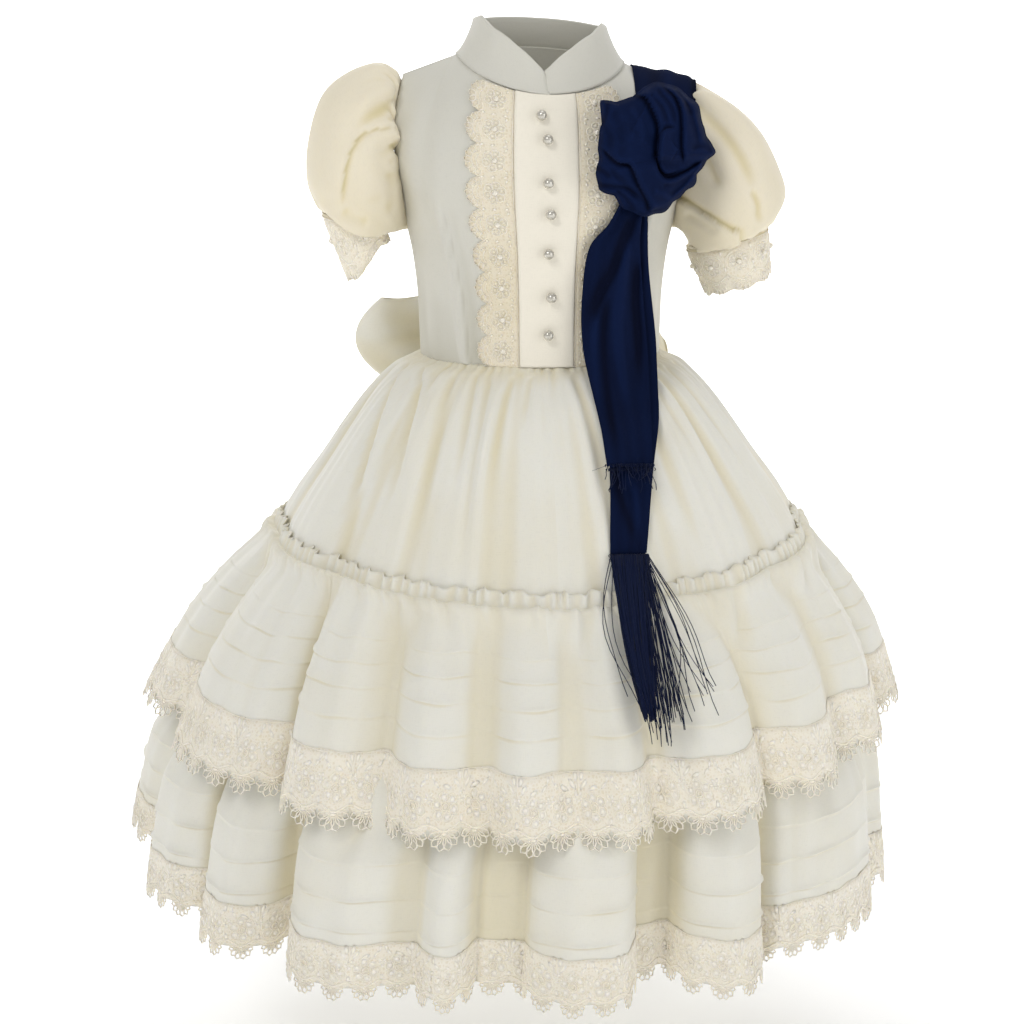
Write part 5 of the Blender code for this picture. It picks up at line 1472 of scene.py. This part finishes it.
def build_cuffs():
    places = []
    for name, node, sign, rings, rise in (
        ("right_cuff", "cuff_right", -1, CUFF_RIGHT_RINGS, 0.5),
        ("left_cuff", "cuff_left", 1, CUFF_LEFT_RINGS, 0.12),
    ):
        columns = 132
        ends = tube_rows(rings, sign, columns)
        middle = ends.reshape(-1, 3).mean(axis=0)
        # The hem runs higher on the side of the body.
        inward = -sign * (ends[1][:, 0] - ends[1][:, 0].mean()) / np.ptp(ends[1][:, 0]) * 2
        reach = 1 - rise * smooth((inward + 0.5) / 1.4)
        hem = lerp(ends[0], ends[1], reach[:, None])
        share = np.linspace(-0.03, 1, 12)[:, None, None]
        grid = lerp(ends[0], hem, share)
        piece = cloth_piece(name, grid, True, middle, CREAM, 1.2, fold=0.3)
        belongs(piece, "sleeve_cloth", node)
        down = unit(hem - ends[0])
        base = lerp(ends[0] + 0.6 * down, hem + 4.0 * down, np.linspace(0, 1, 14)[:, None, None])
        ground = Ground(base, True, middle, LAY_GAP)
        count = round(ground.along[-1] / 24.0)
        pitch, depth = ground.along[-1] / count, ground.down[-1]
        motifs = [repeat_motif(ground, cuff_motif(pitch, depth), pitch, depth, count)]
        net = place_net(ground, 12 * count, 7, straight, scalloped(0.88, 0.07, count, 0.7))
        lace_piece(name + "_lace", ground, motifs, net, "guipure_lace", [node.replace("cuff", "cuff_lace")],
                   0.3)
        places += flower_middles(ground, count, 0.36, 1.2)
    return places


# Front trims.

def trim_motif(pitch, width):
    """One flower of the front trims with its outer scallop: x down the front, y outwards."""
    parts = flower(pitch / 2, width * 0.36, 9.6, 6, 0.2)
    centre = (pitch / 2, width * 0.62)
    for k in range(7):
        angle = math.pi / 2 + lerp(-1.5, 1.5, k / 6)
        at = (centre[0] + 9.4 * math.cos(angle), centre[1] + 9.4 * math.sin(angle))
        parts.append(cord(oval(at, angle, 7.0, 4.8, 7), 1.0, 0.9, 0.0, True))
    for reach in (5.0, 1.2):
        arc = [(centre[0] + (9.4 - reach) * math.cos(a), centre[1] + (7.4 - reach) * math.sin(a))
               for a in np.linspace(0.1, 3.04, 8)]
        parts.append(cord(arc, 1.1, 0.9))
    for y in (0.16, 0.38, 0.58):
        parts.append(leaf((0.4, width * y), 1.2, 5.4, 3.2, 0.8, 6))
    for x, y, turn in ((4.0, 0.14, 0.5), (pitch - 4.0, 0.14, 2.6)):
        parts.append(leaf((x, width * y), turn, 5.6, 2.8, 0.8, 6))
    parts.append(cord([(x, 1.4) for x in np.linspace(0, pitch, 4)], 1.0, 0.7))
    return joined(parts)


def build_trims():
    places = []
    for name, node, sign in (
        ("right_front_lace", "lace_trim_right", -1), ("left_front_lace", "lace_trim_left", 1),
    ):
        levels = np.linspace(TRIM_TOP, 0.0, 80)[None, :]
        u = np.linspace(PLACKET_EDGE - 0.002, TRIM_EDGE + 0.03, 12)[:, None]
        grid = bodice_points(u + 0 * levels, levels + 0 * u, False, sign)
        ground = Ground(grid, False, DRESS_MIDDLE, 0.0)
        extra = trim_lift(levels) + 0 * u
        ground.grid = ground.grid + extra[..., None] * ground.normal
        length, width = ground.along[-1], ground.down[-1]
        count = round(length / 26.5)
        pitch = length / count
        motifs = [repeat_motif(ground, trim_motif(pitch, width), pitch, width, count)]
        net = place_net(ground, 12 * count, 8, straight, scalloped(0.66, 0.22, count, 0.6), False)
        lace_piece(name, ground, motifs, net, "guipure_lace", [node],
                   0.45)
        places += flower_middles(ground, count, 0.34, 1.3)
    return places


# Buttons and pearls.

def build_pearls(places):
    """Small pearls sewn in the middle of the flowers, one shape copied to each place."""
    bpy.ops.object.select_all(action="DESELECT")
    bpy.ops.mesh.primitive_ico_sphere_add(subdivisions=2, radius=2.5 * MM)
    model = bpy.context.object
    shape = np.array([v.co[:] for v in model.data.vertices]) / MM
    faces = [tuple(p.vertices) for p in model.data.polygons]
    bpy.data.objects.remove(model)
    points, polygons = [], []
    for n, place in enumerate(places):
        points.append(shape + place)
        polygons += [tuple(n * len(shape) + i for i in face) for face in faces]
    piece = add_mesh("sewn_pearls", np.concatenate(points), polygons)
    piece.data.materials.append(SEED_PEARL)
    belongs(piece, "pearl")


def build_buttons(placket):
    rows = placket[:, placket.shape[1] // 2]
    order = np.argsort(rows[:, 2])
    for number, (x, z) in enumerate(BUTTONS, 1):
        y = np.interp(z, rows[order, 2], rows[order, 1])
        bpy.ops.object.select_all(action="DESELECT")
        bpy.ops.mesh.primitive_uv_sphere_add(segments=28, ring_count=18, radius=BUTTON_RADIUS * MM)
        piece = bpy.context.object
        piece.name = f"pearl_button_{number}"
        piece.data.transform(piece.matrix_world)
        bpy.ops.object.shade_smooth()
        for v in piece.data.vertices:
            v.co = Vector((x, y - 0.3 - BUTTON_RADIUS, z)) * MM + v.co
        piece.data.materials.append(PEARL)
        belongs(piece, "pearl", f"button_{number}")


# Bow.

def back_of_skirt(x, z):
    level = np.linspace(0, 4.4, 90)
    rings = curve_at(SKIRT_RINGS, level)
    at = np.interp(-np.asarray(z, float), -rings[:, 3], level)
    found = curve_at(SKIRT_RINGS, at)
    width, back = found[..., 4], found[..., 6]
    return back * np.sqrt(np.maximum(0.05, 1 - (x / (width + 1)) ** 2))


def build_bow():
    cx, cy, cz = BOW_CENTRE
    for name, sign, reach, droop in LOOPS:
        station = np.linspace(0, len(LOOP_PATH) - 1, 60)[:, None]
        out, bulge, half = np.moveaxis(curve_at(LOOP_PATH, station), -1, 0)
        across = np.linspace(-1, 1, 34)[None, :]
        out = np.clip(out, 0, 1)
        x = cx + sign * (LOOP_START + out * reach - LOOP_ROUND * (across * out) ** 2)
        z = cz + across * half + droop * out ** 1.3
        rest = np.maximum(back_of_skirt(x, z) + LOOP_CLEARANCE, LOOP_FRONT)
        y = np.maximum(rest, lerp(cy, LOOP_FRONT + 14, out ** 1.4)) + bulge
        pleat = np.sin(across * 9.5 + 0.6 * np.sin(across * 4)) * 2.4 * (1 - out) ** 1.2
        crease = 2.2 * np.sin(out * 9 + across * 1.6 + sign) * smooth(out / 0.3)
        crease = crease * (0.4 + 0.6 * np.cos(across * 2.2) ** 2)
        crease = crease + 1.3 * np.sin(out * 17 - across * 3.1) * smooth((out - 0.1) / 0.3)
        y = y + np.sign(bulge + 1e-6) * (pleat + crease)
        z = z + 1.8 * np.sin(out * 11 + 2) * np.abs(across) ** 3
        grid = np.stack([x, y, z], axis=-1)
        # Painted shade in the troughs of the pleats and creases.
        fold = np.clip(0.35 - (pleat + crease) / 6, 0, 1)
        piece = cloth_piece(name + "_cloth", grid, False, grid.reshape(-1, 3).mean(axis=0), IVORY, fold=fold)
        belongs(piece, "ivory_cloth", name)
    for name, rows in (("bow_tail_right", TAIL_RIGHT), ("bow_tail_left", TAIL_LEFT)):
        station = np.linspace(0, len(rows) - 1, 44)[:, None]
        z, x, half, away = np.moveaxis(curve_at(rows, station), -1, 0)
        across = np.linspace(-1, 1, 26)[None, :]
        z, x = z + 0 * across, x + across * half
        share = station / (len(rows) - 1)
        ripple = 1.6 * np.sin(across * 5 + z * 0.02) + 1.5 * np.sin(across * 9) * (1 - share)
        y = back_of_skirt(x, z) + TAIL_CLEARANCE + np.maximum(away, 0) + ripple
        grid = np.stack([x, y, z], axis=-1)
        # Painted shade in the troughs of the ripples.
        fold = np.clip(0.35 - ripple / 5, 0, 1)
        piece = cloth_piece(name + "_cloth", grid, False, (0, 0, -340), IVORY, fold=fold)
        belongs(piece, "ivory_cloth", name)
    turn = np.linspace(0, 2 * np.pi, 60, endpoint=False)[None, :]
    level = np.linspace(1, -1, 22)[:, None]
    wide = 0.8 + 0.2 * np.cos(level * np.pi / 2) ** 0.7
    crease = 1 + 0.05 * np.sin(turn * 3 + level * 5) + 0.03 * np.sin(level * 15)
    grid = np.stack([
        cx + KNOT_SIZE[0] * wide * crease * np.cos(turn),
        cy + KNOT_SIZE[1] * wide * crease * np.sin(turn),
        cz + KNOT_SIZE[2] * level + 0 * turn,
    ], axis=-1)
    piece = cloth_piece("bow_knot_cloth", grid, True, (cx, cy, cz), IVORY, 1.4, fold=0.4)
    belongs(piece, "ivory_cloth", "bow_knot")


# Sash.

# Creases of the hanging layers, in x and z
FALL_FOLDS = [
    (-3.6, 3, 7, [(76, -132), (66, -158), (56, -182), (43, -206), (34, -236)]),
    (2.6, 5, 5, [(70, -150), (64, -182), (60, -222), (62, -262), (66, -300)]),
    (-3.0, 3, 5, [(79, -170), (76, -205), (78, -240), (77, -290)]),
    (-2.2, 3, 4, [(52, -200), (47, -240), (50, -290), (55, -335)]),
    (1.8, 4, 4, [(40, -216), (38, -250), (44, -300)]), (-2.4, 3, 4, [(50, -338), (56, -366), (66, -398)]),
    (1.8, 3, 3, [(58, -336), (68, -362), (70, -396)]),
]


def build_sash(skirt):
    station = np.linspace(0, len(SHOULDER_PATH) - 1, 90)[:, None]
    found = np.moveaxis(curve_at(SHOULDER_PATH, station), -1, 0)
    y_in, y_out, z_in, z_out, x_in, x_out = found
    t = np.linspace(0, 1, 44)[None, :]
    grid = np.stack([lerp(x_in, x_out, t), lerp(y_in, y_out, t), lerp(z_in, z_out, t)], axis=-1)
    relief = 0.9 * np.sin(t * 9 + station * 0.25 + 1) + 0.5 * np.sin(t * 19 - station * 0.4)
    relief = relief * smooth(t / 0.1) * smooth((1 - t) / 0.1)
    relief = relief + 1.4 * (1 - smooth(np.minimum(t, 1 - t) / 0.05))
    relief = relief - 3.5 * smooth((t - 0.86) / 0.14) ** 2 - 2.0 * smooth((0.08 - t) / 0.08)
    under_sash = (105, 0, -90)
    grid = grid + relief[..., None] * normals_of(grid, False, under_sash)
    # Painted shade: darker where the relief sinks, lighter where it rises.
    fold = np.clip(0.4 - relief / 4, 0, 1)
    piece = cloth_piece("shoulder_sash", grid, False, under_sash, CREPE, fold=fold)
    belongs(piece, "navy_crepe", "sash_shoulder")
    for name, node, rows, bend, clearance in (
        ("front_fall", "sash_fall_front", FALL_TOP, 0.2, 3.2),
        ("under_fall", "sash_fall_under", FALL_UNDER, 0.9, 1.4),
    ):
        station = np.linspace(0, len(rows) - 1, 110)[:, None]
        z, left, right, y_left, y_right, bow = np.moveaxis(curve_at(rows, station), -1, 0)
        t = np.linspace(0, 1, 48)[None, :]
        x = lerp(left, right, t)
        wave = bow * np.sin(np.pi * (1.9 * t + bend + 0.11 * station))
        pleats = 1.4 * np.sin(t * 15 + station * 0.3) * (1 - smooth(station / 2.6))
        crease = strokes(x, z + 0 * x, FALL_FOLDS) * smooth(t / 0.06) * smooth((1 - t) / 0.06)
        crease = crease + 0.3 * np.sin(t * 23 - station * 0.9)
        relief = wave * 0.5 - pleats - crease
        ragged = 1.2 * np.sin(t * 40) * smooth((station - len(rows) + 1.25) / 0.25)
        grid = np.stack([x, lerp(y_left, y_right, t) + relief, z + ragged], axis=-1)
        over_skirt = grid[..., 2:] < -266
        grid = np.where(over_skirt, kept_apart(grid, skirt, clearance, True), grid)
        # Painted shade: darker in the troughs of the creases.
        piece = cloth_piece(name, grid, False, (60, 200, -240), CREPE, fold=np.clip(0.4 - crease / 4, 0, 1))
        belongs(piece, "navy_crepe", node)
    build_fringes()
    build_rosette()


# Layers and creases of the rosette, in x and z from its middle
ROSETTE_LAYERS = [
    (6.0, 3.6, 26, [(-47, 7), (-34, -6), (-23, -9), (-15, -26), (-7, -40), (-4, -50)]),
    (7.0, 3.2, 24, [(-18, 49), (-10, 47), (-5, 38), (0, 26), (1, 16), (0, 3), (-1, -7)]),
    (4.0, 2.4, 16, [(16, 22), (4, 20), (0, 10), (0, -5), (6, -16), (19, -14)]),
    (5.0, 3.0, 20, [(5, 56), (15, 48), (20, 36), (21, 24), (21, 7), (23, -9)]),
    (5.5, 3.4, 18, [(41, -6), (31, -12), (23, -16), (9, -20), (1, -13), (-2, -2)]),
]
ROSETTE_CREASES = [
    (-3.2, 2, 4, [(38, -10), (32, -15), (23, -25), (16, -31), (10, -38)]),
    (-4.0, 2, 4, [(-52, -24), (-36, -27), (-26, -28), (-17, -34), (-9, -42)]),
    (-3.0, 2, 3, [(-34, -30), (-24, -38), (-15, -50)]), (-2.0, 4, 4, [(-38, 38), (-30, 16), (-32, -3)]),
    (-2.4, 2, 3, [(-8, 51), (4, 38), (9, 20)]), (-2.4, 2, 3, [(-1, 54), (12, 39), (16, 23)]),
    (-2.6, 2, 4, [(24, 46), (32, 24), (37, 3)]), (-2.4, 2, 4, [(49, 1), (38, 6), (28, 3)]),
    (-2.2, 3, 3, [(-41, -11), (-26, -25), (-12, -36)]), (-2.0, 2, 3, [(4, -25), (16, -25), (28, -18)]),
    (-1.8, 3, 3, [(-46, 30), (-39, 12), (-44, -5)]), (1.8, 4, 4, [(-22, 40), (-14, 24), (-12, 6)]),
    (1.6, 3, 3, [(-4, -30), (8, -34), (20, -40)]), (-2.6, 2, 3, [(40, 36), (45, 20), (46, 4)]),
    (-2.2, 2, 3, [(12, 58), (27, 40), (31, 30)]), (-2.4, 2, 3, [(58, -2), (46, -10), (34, -22)]),
    (-2.2, 2, 3, [(-40, 44), (-44, 30), (-50, 20)]), (-2.4, 2, 3, [(-56, -8), (-44, -14), (-38, -22)]),
]


def build_rosette():
    cx, cy, cz = ROSETTE_CENTRE
    columns, inner = 200, 62
    turn = 2 * np.pi * np.arange(columns) / columns
    table = np.asarray(ROSETTE_OUTLINE, float)
    size = np.interp((np.degrees(turn) + 164) % 360 - 164, table[:, 0], table[:, 1])
    size = size + 3.6 * np.exp(-(((np.degrees(turn) + 181) % 360 - 180) / 4.5) ** 2)
    share = np.concatenate([
        np.linspace(0.004, 0.93, inner), np.linspace(0.945, 0.99, 5), np.linspace(0.985, 0.86, 7),
    ])
    behind = np.concatenate([np.zeros(inner), np.linspace(0.5, 4, 5), np.linspace(5, 8, 7)])
    x = share[:, None] * (size * np.cos(turn))[None, :]
    z = share[:, None] * (size * np.sin(turn))[None, :]
    height = (ROSETTE_RISE * 0.86 * np.maximum(0.0, 1 - share ** 2) ** 0.55)[:, None] + 0 * x
    live = smooth((1.0 - share) / 0.16)[:, None]
    relief = layers(x, z, ROSETTE_LAYERS) + strokes(x, z, ROSETTE_CREASES)
    pull = 0.35 * np.sin((x * 0.8 + z) * 0.33 + 2.2 * np.sin(z * 0.06))
    height = height + (relief + pull) * live
    rim = 1.2 * np.sin(turn * 9 + 1) + 0.8 * np.sin(turn * 17)
    scale = 1 + (rim / size)[None, :] * smooth((share - 0.8) / 0.2)[:, None]
    y = cy - height + behind[:, None] + ROSETTE_TILT * x
    grid = np.stack([cx + x * scale, y, cz + z * scale], axis=-1)
    # Painted shade: darker where the cloth sinks below its surroundings.
    around = relief.copy()
    for _ in range(8):
        around = softened(around, 1)
        around[1:-1] = (around[:-2] + around[1:-1] + around[2:]) / 3
    fold = np.clip(0.2 + (around - relief) / 2.4, 0, 1)
    piece = cloth_piece("rosette", grid, True, (cx, cy + 10, cz), CREPE, 1.0, fold=fold)
    belongs(piece, "navy_crepe", "sash_rosette", "sash_rosette_wrap_1", "sash_rosette_wrap_2",
            "sash_rosette_wrap_3")


# Ways the strands of the long fringe fall. columns: number of strands, share of the band they
# start from and to, x at the bottom from and to, z at the bottom, swing to the side, bend
LONG_STRANDS = [
    (136, 0.0, 1.0, 62, 71, -510, -3, 0.5), (30, 0.6, 1.0, 72, 96, -519, 4, 2.0),
    (14, 0.8, 1.0, 92, 124, -505, 14, 3.4), (18, 0.3, 1.0, 66, 88, -530, 3, 3.0),
    (6, 0.0, 0.3, 52, 68, -500, -9, 4.0),
]
SHORT_STRANDS = [(40, 0.0, 1.0, 43, 84, -349, 0, 1.6)]


def build_fringes():
    """Strands of yarn that hang from a knotted band, dense in the middle, loose at the side."""
    for name, node, band, rows, groups, steps in (
        ("long_fringe", "sash_fringe_long", LONG_BAND, LONG_DROP, LONG_STRANDS, 12),
        ("short_fringe", "sash_fringe_short", SHORT_BAND, SHORT_DROP, SHORT_STRANDS, 5),
    ):
        draw = np.random.RandomState(17 + steps)
        drop = np.asarray(rows, float)
        top_z, left, right = band
        top_y = drop[0, 1]
        points, faces = [], []

        def strand(x, y, z, radius):
            start, turn = len(points), draw.uniform(0, 2)
            for k in range(len(x)):
                for corner in range(3):
                    a = 2 * np.pi * corner / 3 + turn
                    points.append((x[k] + radius * np.cos(a), y[k] + radius * np.sin(a), z[k]))
            for k in range(len(x) - 1):
                for i in range(3):
                    a, b, j = start + 3 * k, start + 3 * (k + 1), (i + 1) % 3
                    faces.append((a + i, b + i, b + j, a + j))
            last = start + 3 * (len(x) - 1)
            faces.extend([(start, start + 1, start + 2), (last + 2, last + 1, last)])

        for count, first, last, x_from, x_to, end_z, swing, bend in groups:
            for n in range(count):
                f = (n + draw.uniform(0, 1)) / count
                s = np.linspace(0, 1, steps)
                x0 = lerp(left, right, lerp(first, last, f))
                x1 = lerp(x_from, x_to, f + draw.normal(0, 0.12))
                z = lerp(top_z + 1.5, end_z + draw.uniform(-9, 13), s)
                lean = s ** (1.0 if bend < 1 else 1.0 + 0.4 * bend)
                x = lerp(x0, x1, lean) + swing * np.sin(np.pi * s) * draw.uniform(0.3, 1.5)
                x = x + 0.8 * bend * np.sin(s * draw.uniform(4, 9) + draw.uniform(0, 6)) * s
                y = np.interp(-z, -drop[:, 0], drop[:, 1]) - draw.uniform(0.2, 3.6)
                strand(x, y - 1.2 * bend * s * draw.uniform(0, 1), z, 0.72 if bend < 1 else 0.42)
        for row in range(2):
            for n in range(22):
                x0 = lerp(left, right, (n + 0.5 * row) / 21.5)
                turn = np.linspace(0, 2 * np.pi, 7)
                strand(x0 + 1.5 * np.cos(turn), top_y - 2.4 + 0.6 * np.sin(turn * 2),
                       top_z + 0.5 - 3.4 * row + 1.5 * np.sin(turn), 0.5)
        piece = add_mesh(name, points, faces, fold=np.full(len(points), 0.15))
        piece.data.materials.append(YARN)
        belongs(piece, "navy_fringe", node)


# Studio, in metres.

# Section of the floor and the backdrop it curves up into. columns: y, z
BACKDROP = [
    (-6.5, -0.92), (2.6, -0.92), (3.6, -0.84), (4.3, -0.6), (4.7, -0.2), (4.9, 0.4), (5.0, 1.2), (5.0, 4.4),
]
BACKDROP_HALF_WIDTH = 8.0
# Soft lights. columns: name, place, what it is aimed at, size, power in watts
LIGHTS = [
    ("key", (-1.4, -2.1, 1.7), (0, 0, -0.35), 1.0, 25),
    ("fill", (2.3, -2.0, 0.4), (0, 0, -0.45), 1.8, 17),
    ("top", (0.3, 0.1, 2.2), (0, 0, -0.4), 1.6, 9),
    ("back", (0.0, 2.4, 2.8), (0, 4.7, 0.0), 3.2, 70),
]
# The camera: its distance and height, its tilt down and turn in degrees, its sensor in
# millimetres, and its focal length, the picture's side and the column of the middle of the dress
# in pixels.
CAMERA_DISTANCE = 2.1
CAMERA_HEIGHT = 0.02
CAMERA_TILT = 11.5
CAMERA_TURN = 4.0
SENSOR = 36
FOCAL_PIXELS = 2381
PICTURE_PIXELS = 1024
MIDDLE_COLUMN = 540


def build_studio():
    """A pale floor that curves up into a backdrop, soft lights, and the camera."""
    steps = curve_at(BACKDROP, np.linspace(0, len(BACKDROP) - 1, 90))
    points = [(x, y, z) for y, z in steps for x in (-BACKDROP_HALF_WIDTH, BACKDROP_HALF_WIDTH)]
    faces = [(2 * k, 2 * k + 1, 2 * k + 3, 2 * k + 2) for k in range(len(steps) - 1)]
    mesh = bpy.data.meshes.new("backdrop")
    mesh.from_pydata(points, [], faces)
    mesh.polygons.foreach_set("use_smooth", [True] * len(mesh.polygons))
    floor = linked("backdrop", mesh)
    # Matt white paper. It is lit evenly far behind the dress, so it stays white up to its edge.
    paper, tree, shader = new_material("Matt white paper", {
        "Base Color": (*colour("#FFFFFF"), 1), "Roughness": 0.9, "Emission Color": (1, 1, 1, 1),
    })
    place = put(tree, "ShaderNodeTexCoord")
    far_off = put(tree, "ShaderNodeVectorMath", {"operation": "LENGTH"}, _0=place.outputs["Object"])
    glow = put(tree, "ShaderNodeMapRange",
               {"From Min": 1.2, "From Max": 2.8, "To Min": 0.22, "To Max": 0.62},
               Value=far_off.outputs[1])
    tree.links.new(glow.outputs[0], shader.inputs["Emission Strength"])
    floor.data.materials.append(paper)
    for name, spot, aim, size, power in LIGHTS:
        light = bpy.data.lights.new(name, "AREA")
        light.energy = power
        light.size = size
        lamp = linked(name, light)
        lamp.location = spot
        lamp.rotation_euler = (Vector(aim) - Vector(spot)).to_track_quat("-Z", "Y").to_euler()
    world = bpy.data.worlds.new("studio")
    world.use_nodes = True
    world.node_tree.nodes["Background"].inputs[0].default_value = (*colour("#F8F8FA"), 1)
    world.node_tree.nodes["Background"].inputs[1].default_value = 0.40
    bpy.context.scene.world = world
    pitch, turn, far = math.radians(CAMERA_TILT), math.radians(CAMERA_TURN), CAMERA_DISTANCE
    lens = bpy.data.cameras.new("camera")
    lens.sensor_width = SENSOR
    lens.lens = FOCAL_PIXELS / PICTURE_PIXELS * SENSOR
    lens.shift_x = -(MIDDLE_COLUMN - PICTURE_PIXELS / 2) / PICTURE_PIXELS
    camera = linked("camera", lens)
    camera.location = (-far * math.sin(turn), -far * math.cos(turn), CAMERA_HEIGHT)
    ahead = Vector((math.sin(turn) * math.cos(pitch), math.cos(turn) * math.cos(pitch), -math.sin(pitch)))
    camera.rotation_euler = ahead.to_track_quat("-Z", "Y").to_euler()
    bpy.context.scene.camera = camera
    bpy.context.scene.view_settings.view_transform = "Standard"


def main():
    skirt = build_skirt()
    build_heading()
    build_flounces(skirt)
    build_bodice()
    placket = build_placket()
    build_collar()
    build_sleeves()
    build_pearls(build_cuffs() + build_trims())
    build_buttons(placket)
    build_bow()
    build_sash(skirt)
    build_studio()


main()
